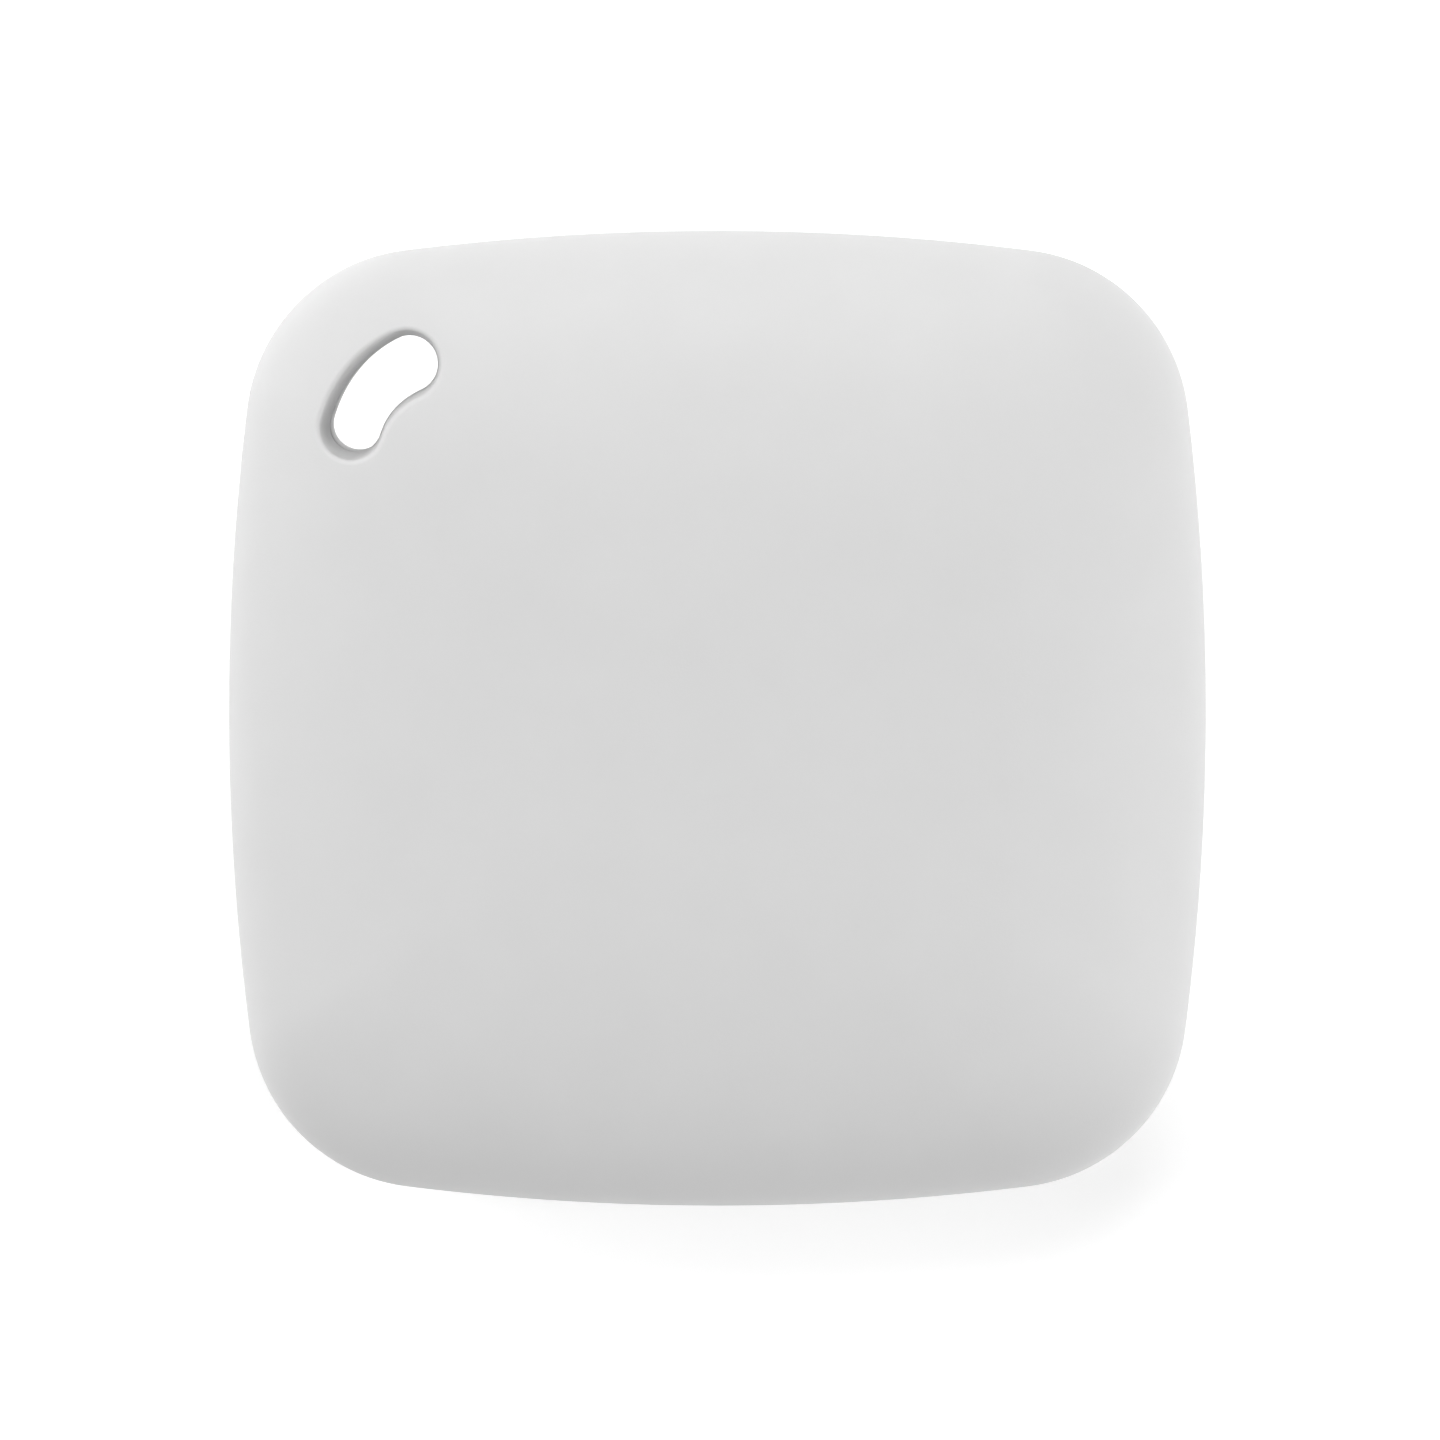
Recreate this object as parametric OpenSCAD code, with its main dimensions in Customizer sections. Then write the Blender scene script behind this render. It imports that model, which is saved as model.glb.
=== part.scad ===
// Square Bluetooth tracker tag with a key slot in one corner.
// The front cover floats on a mid frame and is the button; the rear cover pries off for the coin cell.
// Millimetres, +Z towards the front face, origin at the centre of the rear face.

/* [Case] */
// Width and height of the case across its bulged sides
case_w = 39; // [39:0.25:40]
// Thickness of the case at its centre
case_h = 10; // [10:0.1:10.6]
// Radius of each bulged side
side_r = 100; // [80:5:140]
// Radius of each corner
corner_r = 7.2; // [6.8:0.1:7.6]
// Wall of both covers at the seam
wall = 1.3; // [1.2:0.05:1.4]
// Skin of both covers at their centres
skin = 1.2; // [1.0:0.05:1.2]
// Upper edge of the rear cover
rear_rim_z = 4.3; // [4.3:0.05:4.35]
// Gap between the covers at the seam, which the button needs
seam_gap = 0.4; // [0.35:0.05:0.45]

/* [Key slot] */
// Width of the slot's upper end, at the seam
slot_wide = 2.24; // [2.1:0.02:2.3]
// Width of its lower end, at the seam
slot_narrow = 2.06; // [1.9:0.02:2.1]
// Draft: how far each wall leans out from the seam to the front face
slot_draft = 0.22; // [0.1:0.02:0.24]
// Radius of the slot's curved middle line
slot_r = 3.98; // [3.9:0.02:4.0]
// Half the angle that the middle line turns through
slot_half_angle = 24.4; // [21:0.1:25]
// Direction from the centre of the slot's curve to its middle
slot_turn = 138.9; // [136:0.1:140]
// X and Y distance from the centre of the tag to the centre of the slot's curve
slot_centre = 10.6; // [10.5:0.02:10.65]

/* [Coin cell] */
// Diameter of the CR2032 cell
cell_d = 20; // [20:20]
// Underside of the cell
cell_z = 1.5; // [1.5:0.01:1.52]

/* [Button] */
// Travel of the front cover and of the switch
press_travel = 0.25; // [0.2:0.01:0.25]

/* [Hidden] */
$fn = 64;
eps = 0.01;

// Outline resolution: chords on each side and round each corner
side_steps = 6;
corner_steps = 14;
cap_steps = 12;

// Heights of the stack
front_rim_z = rear_rim_z + seam_gap;
ledge_z = 2.9;         // rear cover's ledge, which carries the seal
seal_t = 0.4;
frame_z = ledge_z + seal_t;
plate_z = rear_rim_z;  // underside of the frame's plate, where the cover's hooks catch
board_z = 5.35;
board_t = 0.8;
top_z = board_z + board_t;
cell_h = 3.2;

// Depth of the domes, and how squarely they turn down at the edge
front_p = 3.2;
rear_p = 4.2;
inner_p = 5;
rear_flat = 0.956;     // the rear dome is cut flat at this share of its depth
front_flat = 0.9995;

// Distances in from the outline
frame_in = wall + 0.2;
frame_wall = 0.8;
ledge_in = wall + 1.1;
board_in = 2.9;

// Walls round the key slot
collar = 0.9;
collar_lip = 0.4;
collar_gap = 0.25;

// Positions on the board
switch_xy = [0, -8.5];
switch_w = 5.2;
switch_floor = top_z + 0.2;
frame_plate_z = top_z + 0.75;
plunger_top = top_z + 1.5;
sounder_xy = [0, 2.6];
sounder_r = 7.5;
ceramic_r = 5.5;
sounder_ledge_z = case_h - skin - 0.38;
film_t = 0.1;
plate_t = 0.2;
screw_xy = [[12.4, 12.4], [12.4, -12.4], [-12.4, -12.4]];
pin_xy = [[13.2, 6.2], [-13.2, -6.2]];
catch_sides = [0, 90, 180, 270];
catch_offset = 6.6;

// Where the arcs of the outline are centred: the side's on the X axis, the corner's on the diagonal
side_c = case_w / 2 - side_r;
corner_c = (side_c + sqrt(2 * pow(side_r - corner_r, 2) - side_c * side_c)) / 2;
side_angle = atan2(corner_c, corner_c - side_c);

function polar(r, a) = [r * cos(a), r * sin(a)];

function turned(p, a) = [p.x * cos(a) - p.y * sin(a), p.x * sin(a) + p.y * cos(a)];

// One quarter of the case outline, centred on +X, moved in by a distance
function outline_quarter(inset) = concat(
    [for (i = [0 : side_steps - 1])
        [side_c, 0] + polar(side_r - inset, -side_angle + 2 * side_angle * i / side_steps)],
    [for (i = [0 : corner_steps - 1])
        [corner_c, corner_c]
        + polar(corner_r - inset, side_angle + (90 - 2 * side_angle) * i / corner_steps)]
);

function outline(inset = 0) = [for (q = [0 : 3], p = outline_quarter(inset)) turned(p, 90 * q)];

// Half the slot's width at a share of the way from its upper to its lower end, eased into both ends
function slot_half(t) = (slot_wide + (slot_narrow - slot_wide) * t * t * (3 - 2 * t)) / 2;

// Outline of the key slot at the seam, grown by a distance
function slot_outline(grow = 0) = let (
    c = [-slot_centre, slot_centre],
    a0 = slot_turn - slot_half_angle,
    a1 = slot_turn + slot_half_angle,
    span = a1 - a0
) concat(
    [for (i = [0 : cap_steps]) let (t = i / cap_steps)
        c + polar(slot_r + slot_half(t) + grow, a0 + span * t)],
    [for (i = [1 : cap_steps - 1])
        c + polar(slot_r, a1) + polar(slot_half(1) + grow, a1 + 180 * i / cap_steps)],
    [for (i = [0 : cap_steps]) let (t = 1 - i / cap_steps)
        c + polar(slot_r - slot_half(t) - grow, a0 + span * t)],
    [for (i = [1 : cap_steps - 1])
        c + polar(slot_r, a0) + polar(slot_half(0) + grow, a0 + 180 + 180 * i / cap_steps)]
);

// A solid dome on the case outline. It stands on z = 0 and rises to depth * cut, where it is flat.
module dome(inset, depth, p, cut, rings) {
    ring = outline(inset);
    n = len(ring);
    end = asin(cut);
    points = [for (i = [0 : rings], q = ring)
        let (a = end * i / rings, u = pow(cos(a), 2 / p)) [q.x * u, q.y * u, depth * sin(a)]];
    sides = [for (i = [0 : rings - 1], j = [0 : n - 1])
        let (k = (j + 1) % n) [i * n + j, i * n + n + j, i * n + n + k, i * n + k]];
    polyhedron(points, concat(
        [[for (j = [0 : n - 1]) j]],
        sides,
        [[for (j = [n - 1 : -1 : 0]) rings * n + j]]
    ));
}

module front_solid() {
    translate([0, 0, front_rim_z]) dome(0, (case_h - front_rim_z) / front_flat, front_p, front_flat, 14);
}

module rear_solid() {
    translate([0, 0, rear_rim_z]) mirror([0, 0, 1]) dome(0, rear_rim_z / rear_flat, rear_p, rear_flat, 12);
}

module prism(points, z0, z1) {
    translate([0, 0, z0]) linear_extrude(z1 - z0) polygon(points);
}

// The slot itself, straight through the rear cover and drafted towards the front face
module slot_cutter() {
    seam_z = rear_rim_z + seam_gap / 2;
    n = len(slot_outline());
    points = [for (z = [-1, seam_z, case_h + 1])
        let (grow = slot_draft * max(z - seam_z, 0) / seam_z)
        for (q = slot_outline(grow)) [q.x, q.y, z]];
    sides = [for (i = [0, 1], j = [0 : n - 1])
        let (k = (j + 1) % n) [i * n + j, i * n + n + j, i * n + n + k, i * n + k]];
    polyhedron(points, concat(
        [[for (j = [0 : n - 1]) j]],
        sides,
        [[for (j = [n - 1 : -1 : 0]) 2 * n + j]]
    ));
}

module slot_tube(grow_in, grow_out, z0, z1) {
    difference() {
        prism(slot_outline(grow_out), z0, z1);
        prism(slot_outline(grow_in), z0 - 1, z1 + 1);
    }
}

// The room inside the case, in plan: the outline with a bay left out round the slot's collar
module inside_plan(extra) {
    difference() {
        polygon(outline(frame_in + extra));
        polygon(slot_outline(collar + collar_gap + extra));
    }
}

// A band that follows the edge of that room, as the frame's wall and the seal do
module edge_band(z0, z1, width) {
    translate([0, 0, z0]) linear_extrude(z1 - z0) difference() {
        inside_plan(0);
        inside_plan(width);
    }
}

module disc(r, z0, z1, at = [0, 0]) {
    translate([at.x, at.y, z0]) cylinder(r = r, h = z1 - z0);
}

module ring(r_in, r_out, z0, z1, at = [0, 0]) {
    difference() {
        disc(r_out, z0, z1, at);
        disc(r_in, z0 - 1, z1 + 1, at);
    }
}

module block(size, z0, at = [0, 0]) {
    translate([at.x - size.x / 2, at.y - size.y / 2, z0]) cube(size);
}

// Snap ribs on the rear cover, or with slack the recesses that take them in the frame
module catch_ribs(in0, in1, z0, z1, length) {
    intersection() {
        difference() {
            prism(outline(in0), z0, z1);
            prism(outline(in1), z0 - 1, z1 + 1);
        }
        for (a = catch_sides, s = [-1, 1])
            rotate(a) translate([case_w / 2 - 4, s * catch_offset - length / 2, z0])
                cube([4, length, z1 - z0]);
    }
}

// Unit normal of a segment, and the mitred normal at a point of a path
function seg_normal(a, b) = let (d = b - a) [-d.y, d.x] / norm(d);
function path_normal(path, i) = let (
    last = len(path) - 1,
    n0 = seg_normal(path[max(i - 1, 0)], path[max(i, 1)]),
    n1 = seg_normal(path[min(i, last - 1)], path[min(i + 1, last)])
) (n0 + n1) / (1 + n0 * n1);

// A bent strip of sheet metal: a path in X and Z, a thickness, and a width along Y
module bent_strip(path, thickness, width) {
    n = len(path);
    rotate([90, 0, 0]) translate([0, 0, -width / 2]) linear_extrude(width) polygon(concat(
        [for (i = [0 : n - 1]) path[i] + path_normal(path, i) * thickness / 2],
        [for (i = [n - 1 : -1 : 0]) path[i] - path_normal(path, i) * thickness / 2]
    ));
}

module spun(points) {
    rotate_extrude($fn = 96) polygon(points);
}

/* Rear half */

pry_w = 8;
pry_h = 0.7;
pry_depth = 0.9;
tray_r = cell_d / 2 + 0.25;
tray_wall = 0.9;
tray_top = 3.9;
cavity_depth = 1.9;

module cell_tray() {
    difference() {
        ring(tray_r, tray_r + tray_wall, skin - eps, tray_top);
        // window for the positive contact, and a finger notch to lift the cell
        translate([tray_r - 1, -2.6, skin + 0.4]) cube([4, 5.2, tray_top]);
        rotate(225) translate([tray_r - 1.5, -4.5, skin + 0.4]) cube([4, 9, tray_top]);
    }
}

module rear_cover() {
    color("whitesmoke") difference() {
        union() {
            difference() {
                rear_solid();
                prism(outline(wall), ledge_z, rear_rim_z + 1);
                intersection() {
                    translate([0, 0, ledge_z + eps]) mirror([0, 0, 1])
                        dome(ledge_in, cavity_depth, inner_p, 0.98, 8);
                    block([case_w, case_w, case_h], skin);
                }
            }
            intersection() {
                rear_solid();
                union() {
                    prism(slot_outline(collar), skin / 2, rear_rim_z);
                    prism(slot_outline(ledge_in - frame_in + collar + collar_gap), skin / 2, ledge_z);
                }
            }
            slot_tube(collar_lip + 0.1, collar, rear_rim_z - eps, front_rim_z + 0.5);
            cell_tray();
            catch_ribs(wall - 0.2, wall + 0.35, 3.65, 3.95, 4);
        }
        slot_cutter();
        block([pry_w, 2 * pry_depth, pry_h + 1], rear_rim_z - pry_h, [0, -case_w / 2]);
    }
}

module case_seal() {
    color("silver") edge_band(ledge_z, frame_z, frame_wall);
}

module cell_pad() {
    color("dimgray") disc(8, skin, cell_z);
}

/* Coin cell, drawn as the sections of its spun parts */

module on_cell() {
    translate([0, 0, cell_z]) children();
}

module cell_can() {
    color("silver") on_cell() spun([
        [0, 0], [9.7, 0], [9.9, 0.08], [10, 0.3], [10, 2.6], [9.87, 2.84], [9.3, 2.95],
        [9.3, 2.75], [9.6, 2.65], [9.72, 2.5], [9.72, 0.45], [9.5, 0.25], [0, 0.25]
    ]);
}

module cell_gasket() {
    color("gainsboro") on_cell() spun([
        [8.62, 2.98], [9.28, 2.98], [9.28, 2.74], [9.58, 2.63], [9.7, 2.5], [9.7, 0.9],
        [8, 0.9], [8, 1.18], [8.62, 1.18]
    ]);
}

module cell_cap() {
    color("lightgray") on_cell() spun([
        [0, cell_h], [8.2, cell_h], [8.48, 3.1], [8.6, 2.9], [8.6, 1.2],
        [8.35, 1.2], [8.35, 2.8], [8.1, 2.95], [0, 2.95]
    ]);
}

module cell_cathode() {
    color("black") on_cell() disc(7.9, 0.27, 1.6);
}

module cell_separator() {
    color("white") on_cell() disc(7.95, 1.61, 1.72);
}

module cell_anode() {
    color("lightsteelblue") on_cell() disc(8.1, 1.73, 2.93);
}

/* Mid frame and board */

hook_x = 16.2;
hook_t = 0.85;
hook_w = 4;
hook_z = 3.5;
hook_nose = 0.55;
hook_lap = 0.15;
boss_r = 1.7;
screw_r = 0.7;
screw_tip_z = 3.1;
pin_r = 0.6;

module at_sides() {
    for (a = catch_sides) rotate(a) children();
}

module mid_frame() {
    color("gainsboro") difference() {
        union() {
            edge_band(frame_z, plate_z + eps, frame_wall);
            translate([0, 0, plate_z]) linear_extrude(5 - plate_z) inside_plan(0);
            translate([0, 0, 5 - eps]) linear_extrude(board_z - 5 + eps) inside_plan(0.6);
            for (at = screw_xy) disc(boss_r, 2.6, board_z, at);
            for (at = pin_xy) disc(pin_r, board_z - 1, top_z + 0.3, at);
        }
        disc(11.6, 0, case_h);
        for (at = screw_xy) disc(screw_r + 0.02, 2.9, case_h, at);
        // wells that the front cover's hooks reach down through
        at_sides() translate([hook_x - hook_lap, -hook_w / 2 - 0.25, frame_z - 1])
            cube([hook_t + 2 * hook_lap, hook_w + 0.5, case_h]);
        // room for the positive contact's foot
        translate([10, -2.6, 0]) cube([4, 5.2, case_h]);
        catch_ribs(frame_in - 0.2, frame_in + 0.3, 3.45, plate_z, 4.6);
    }
}

module circuit_board() {
    color("darkgreen") difference() {
        translate([0, 0, board_z]) linear_extrude(board_t) difference() {
            polygon(outline(board_in));
            polygon(slot_outline(collar + collar_gap + 0.35));
        }
        for (at = screw_xy) disc(0.85, 0, case_h, at);
        for (at = pin_xy) disc(pin_r + 0.05, 0, case_h, at);
        // cut-outs that the hooks pass through
        at_sides() translate([hook_x - hook_nose - 0.1, -hook_w / 2 - 0.4, 0])
            cube([4, hook_w + 0.8, case_h]);
    }
}

module board_screw() {
    difference() {
        union() {
            disc(1.2, top_z, top_z + 0.6);
            disc(screw_r, screw_tip_z + 0.4, top_z + 0.3);
            translate([0, 0, screw_tip_z]) cylinder(r1 = 0.3, r2 = screw_r, h = 0.4);
        }
        for (a = [0, 90]) rotate(a) block([1.3, 0.25, 1], top_z + 0.2);
    }
}

module board_screws() {
    color("slategray") for (at = screw_xy) translate(at) board_screw();
}

leaf_t = 0.2;

module negative_contact() {
    z = board_z - leaf_t / 2;
    low = cell_z + cell_h + leaf_t / 2 + 0.03;
    color("gold") union() {
        block([5, 4, leaf_t], board_z - leaf_t);
        for (a = [0, 180])
            rotate(a) bent_strip([[2.2, z], [3.2, z - 0.02], [6.1, low], [7.1, low + 0.22]], leaf_t, 2.4);
    }
}

module positive_contact() {
    z = board_z - leaf_t / 2;
    touch = cell_d / 2 + leaf_t / 2 + 0.03;
    color("gold") bent_strip([
        [13.7, z], [11.7, z], [11.3, z - 0.15], [11.15, z - 0.55],
        [11.05, 4.2], [touch, 3.2], [touch, 3], [10.7, 2.3]
    ], leaf_t, 4);
}

/* Electronic parts */

module bluetooth_chip() {
    color("dimgray") block([5, 5, 0.85], top_z, [-8, -5.5]);
}

module main_crystal() {
    color("silver") block([2.5, 2, 0.55], top_z, [-7.2, -10.8]);
}

module clock_crystal() {
    color("silver") block([1.5, 3.2, 0.75], top_z, [-12.6, -1]);
}

module chip_antenna() {
    color("white") block([7, 2, 0.8], top_z, [3.5, 13.9]);
}

module boost_inductor() {
    color("darkslategray") block([3, 3, 1.2], top_z, [8.2, -9.6]);
}

module sounder_driver() {
    color("dimgray") block([2, 2, 0.7], top_z, [9.4, -4.6]);
}

// Ceramic chips: X, Y, and the angle each is turned
capacitor_size = [1, 0.5, 0.5];
capacitor_at = [
    [-4.2, -3.6, 90], [-4.2, -5.4, 90], [-4.2, -7.2, 90], [-8, -1.9, 0], [-10, -1.9, 0],
    [-9.9, -10.2, 90], [-9.9, -11.8, 90], [-12, -4.4, 0], [6.6, -5.4, 90], [6.6, -3.8, 90],
    [-1, 12.6, 90], [-3.2, 12.2, 0]
];
reservoir_size = [3.2, 1.6, 1.1];
reservoir_at = [[11.9, -1.2, 90], [10.4, 5.6, 90]];
resistor_size = [1, 0.5, 0.35];
resistor_at = [
    [4.4, -6.6, 0], [4.4, -7.8, 0], [12.2, -5, 90], [12.2, -7, 90], [-5.6, 12.2, 0],
    [-9, 5.4, 0], [-9, 7, 0], [8.6, 8.8, 0]
];

module chips(size, places) {
    for (p = places) translate([p.x, p.y, 0]) rotate(p.z) block(size, top_z);
}

module chip_capacitors() {
    color("tan") {
        chips(capacitor_size, capacitor_at);
        chips(reservoir_size, reservoir_at);
    }
}

module chip_resistors() {
    color("black") chips(resistor_size, resistor_at);
}

/* Switch */

dome_r = 1.85;
dome_h = 0.3;
dome_t = 0.07;
stem_r = 1.25;
stem_hole_r = 1.35;

module at_switch() {
    translate(switch_xy) children();
}

module switch_base() {
    color("black") at_switch() difference() {
        block([switch_w, switch_w, frame_plate_z - top_z], top_z);
        disc(2, switch_floor, case_h);
    }
}

module switch_terminals() {
    color("silver") at_switch() for (x = [-1, 1], y = [-1, 1])
        block([0.7, 0.6, 0.15], top_z, [x * (switch_w / 2 + 0.35), y * 1.8]);
}

// Points on the snap dome's curve, lifted by a distance
function dome_curve(lift) = [for (i = [0 : 8])
    let (x = dome_r * i / 8) [x, dome_h * (1 - pow(x / dome_r, 2)) + lift]];

module switch_dome() {
    color("silver") at_switch() translate([0, 0, switch_floor])
        spun(concat(dome_curve(0), [for (i = [8 : -1 : 0]) dome_curve(dome_t)[i]]));
}

module switch_frame() {
    color("silver") at_switch() difference() {
        block([5, 5, 0.15], frame_plate_z);
        disc(stem_hole_r, 0, case_h);
    }
}

module switch_plunger() {
    nub_z = switch_floor + dome_h + dome_t + 0.01;
    color("white") at_switch() union() {
        disc(0.5, nub_z, nub_z + 0.1);
        disc(1.7, nub_z + 0.05, frame_plate_z - 0.01);
        disc(stem_r, frame_plate_z - 0.02, plunger_top);
    }
}

/* Sounder: a brass and ceramic disc on the front cover, and the springs that meet it */

ceramic_z = sounder_ledge_z - film_t - 2 * plate_t;
wire_r = 0.11;
coil_r = 0.75;
coil_turns = 4;
coil_steps = 12;
wire_sides = 8;

module sounder_adhesive() {
    color("ivory") ring(6.3, 7.4, sounder_ledge_z - film_t, sounder_ledge_z, sounder_xy);
}

module sounder_plate() {
    color("goldenrod") disc(sounder_r, ceramic_z + plate_t, ceramic_z + 2 * plate_t, sounder_xy);
}

module sounder_ceramic() {
    color("silver") disc(ceramic_r, ceramic_z, ceramic_z + plate_t, sounder_xy);
}

// A round wire wound from z0 up to z1, its centreline kept a wire's radius inside both
module coil(z0, z1) {
    rise = z1 - z0 - 2 * wire_r;
    n = coil_turns * coil_steps;
    points = [for (i = [0 : n], k = [0 : wire_sides - 1])
        let (a = 360 * i / coil_steps, b = 360 * k / wire_sides, r = coil_r + wire_r * cos(b))
        [r * cos(a), r * sin(a), z0 + wire_r + rise * i / n + wire_r * sin(b)]];
    sides = [for (i = [0 : n - 1], k = [0 : wire_sides - 1])
        let (a = i * wire_sides + k, b = i * wire_sides + (k + 1) % wire_sides) each [
            [a, b, a + wire_sides],
            [b, b + wire_sides, a + wire_sides]
        ]];
    polyhedron(points, concat(
        [[for (k = [wire_sides - 1 : -1 : 0]) k]],
        sides,
        [[for (k = [0 : wire_sides - 1]) n * wire_sides + k]]
    ));
}

module sounder_springs() {
    color("gold") {
        translate(sounder_xy + [2.6, 1.4]) coil(top_z + eps, ceramic_z - 0.02);
        translate(sounder_xy + [-6.5, 0]) coil(top_z + eps, ceramic_z + plate_t - 0.02);
    }
}

/* Front cover */

module cover_hook() {
    translate([hook_x, -hook_w / 2, hook_z]) cube([hook_t, hook_w, 7.2 - hook_z]);
    translate([0, hook_w / 2, 0]) rotate([90, 0, 0]) linear_extrude(hook_w) polygon([
        [hook_x + eps, hook_z], [hook_x - 0.15, hook_z], [hook_x - hook_nose, hook_z + 0.45],
        [hook_x - hook_nose, plate_z - 0.03], [hook_x + eps, plate_z - 0.03]
    ]);
}

module front_cover() {
    inner_top = case_h - skin;
    color("whitesmoke") difference() {
        union() {
            difference() {
                front_solid();
                translate([0, 0, front_rim_z - eps])
                    dome(wall, (inner_top - front_rim_z) / front_flat, front_p, front_flat, 10);
            }
            intersection() {
                front_solid();
                union() {
                    prism(slot_outline(collar), front_rim_z + 0.8, case_h);
                    prism(slot_outline(collar_lip), front_rim_z, case_h);
                    translate(switch_xy) translate([0, 0, plunger_top + 0.03]) cylinder(r = 1.3, h = 2);
                    ring(6.2, sounder_r + 0.1, sounder_ledge_z, case_h - skin / 2, sounder_xy);
                }
            }
            at_sides() cover_hook();
        }
        slot_cutter();
    }
}

rear_cover();
case_seal();
cell_pad();
cell_can();
cell_gasket();
cell_cap();
cell_cathode();
cell_separator();
cell_anode();
mid_frame();
circuit_board();
board_screws();
negative_contact();
positive_contact();
bluetooth_chip();
main_crystal();
clock_crystal();
chip_antenna();
boost_inductor();
sounder_driver();
chip_capacitors();
chip_resistors();
sounder_springs();
switch_base();
switch_terminals();
switch_dome();
switch_frame();
switch_plunger();
front_cover();
sounder_adhesive();
sounder_plate();
sounder_ceramic();
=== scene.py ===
"""The looks of a square Bluetooth tracker tag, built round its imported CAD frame.

The two covers are rebuilt as smooth moulded shells. The parts inside keep their CAD shapes where those
are right, and are turned, wound or bent afresh where the real part is rounder than its CAD solid.
"""

import math

import bmesh
import bpy
from mathutils import Matrix, Vector
from mathutils.geometry import delaunay_2d_cdt


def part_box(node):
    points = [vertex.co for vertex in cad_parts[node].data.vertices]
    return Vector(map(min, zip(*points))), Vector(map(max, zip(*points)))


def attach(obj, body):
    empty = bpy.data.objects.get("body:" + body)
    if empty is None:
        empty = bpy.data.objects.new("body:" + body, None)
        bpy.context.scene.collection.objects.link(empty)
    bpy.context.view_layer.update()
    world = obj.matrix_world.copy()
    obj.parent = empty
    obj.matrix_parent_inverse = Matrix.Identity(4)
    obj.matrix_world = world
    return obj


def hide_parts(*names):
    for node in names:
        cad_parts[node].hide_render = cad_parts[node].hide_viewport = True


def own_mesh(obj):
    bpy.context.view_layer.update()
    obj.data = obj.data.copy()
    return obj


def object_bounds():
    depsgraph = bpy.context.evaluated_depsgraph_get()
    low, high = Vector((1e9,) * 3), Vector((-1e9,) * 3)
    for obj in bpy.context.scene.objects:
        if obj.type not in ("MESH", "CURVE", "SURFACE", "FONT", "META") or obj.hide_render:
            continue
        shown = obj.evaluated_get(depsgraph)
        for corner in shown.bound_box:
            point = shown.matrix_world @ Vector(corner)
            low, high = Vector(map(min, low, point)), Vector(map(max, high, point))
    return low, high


MM = 0.001

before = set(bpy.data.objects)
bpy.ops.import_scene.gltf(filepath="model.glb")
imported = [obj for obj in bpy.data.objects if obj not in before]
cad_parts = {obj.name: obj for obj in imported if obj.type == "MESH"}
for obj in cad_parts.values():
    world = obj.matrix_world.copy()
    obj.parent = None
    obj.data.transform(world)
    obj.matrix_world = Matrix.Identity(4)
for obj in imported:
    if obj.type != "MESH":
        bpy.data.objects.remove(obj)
cad_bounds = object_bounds()


def box_mm(node):
    """The lowest and highest corners of a CAD node, in millimetres."""
    lowest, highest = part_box(node)
    return Vector(lowest) / MM, Vector(highest) / MM


def middle(node):
    """The centre of a CAD node's box, in millimetres."""
    lowest, highest = box_mm(node)
    return (lowest + highest) / 2


# ---------------------------------------------------------------------------------------------
# The case, in millimetres. Sizes that a node's box gives are read from it.
# ---------------------------------------------------------------------------------------------

CASE_W = (cad_bounds[1][0] - cad_bounds[0][0]) / MM
CASE_H = (cad_bounds[1][2] - cad_bounds[0][2]) / MM
SIDE_R = 100.0  # radius of each bulged side
CORNER_R = 7.2  # radius of each corner
WALL = 1.3
SKIN = 1.2
REAR_RIM = 4.3
FRONT_RIM = 4.7
FRONT_POWER = 3.2  # how squarely each dome turns down at its edge
REAR_POWER = 4.2
REAR_FLAT = 0.956  # share of the rear dome's depth at which it is cut flat
FLAT_BLEND = 0.05  # the cut's edge is blended over this height
EDGE_R = 0.12  # rounding on the seam's edges
THIN_EDGE_R = 0.06  # rounding on thin inner edges

SLOT_CENTRE = 10.6  # how far the centre of the slot's curve lies from the middle, in X and in Y
SLOT_R = 3.98
SLOT_WIDE = 2.24  # width at the slot's upper end
SLOT_NARROW = 2.06  # width at its lower end
SLOT_DRAFT = 0.22  # how far each wall leans out, from the seam to the front face
SLOT_HALF_ANGLE = math.radians(24.4)
SLOT_LIP_R = 0.24  # rounding of the slot's mouth, front and rear
SLOT_DIRECTION = math.radians(138.9)

SIDE_STEPS = 56
CORNER_STEPS = 32
SLOT_STEPS = 26
CAP_STEPS = 16
FILLET_STEPS = 5
DOME_STEP = math.radians(3)
# A dome is even rings up to its limit, and triangles round the slot above it.
OUTER_LIMIT = math.radians(33)
CEILING_LIMIT = math.radians(18)
BOWL_LIMIT = math.radians(2)
TOP_LIMIT = math.radians(87)
CLEAR = 0.25  # least distance from the slot's edge line to the next free corner
MERGE = 0.003  # corners nearer to each other than this are made one

SIDE_C = CASE_W / 2 - SIDE_R
CORNER_C = (SIDE_C + math.sqrt(2 * (SIDE_R - CORNER_R) ** 2 - SIDE_C**2)) / 2
SIDE_ANGLE = math.atan2(CORNER_C, CORNER_C - SIDE_C)


def on_circle(x, y, radius, angle):
    return (x + radius * math.cos(angle), y + radius * math.sin(angle))


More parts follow.
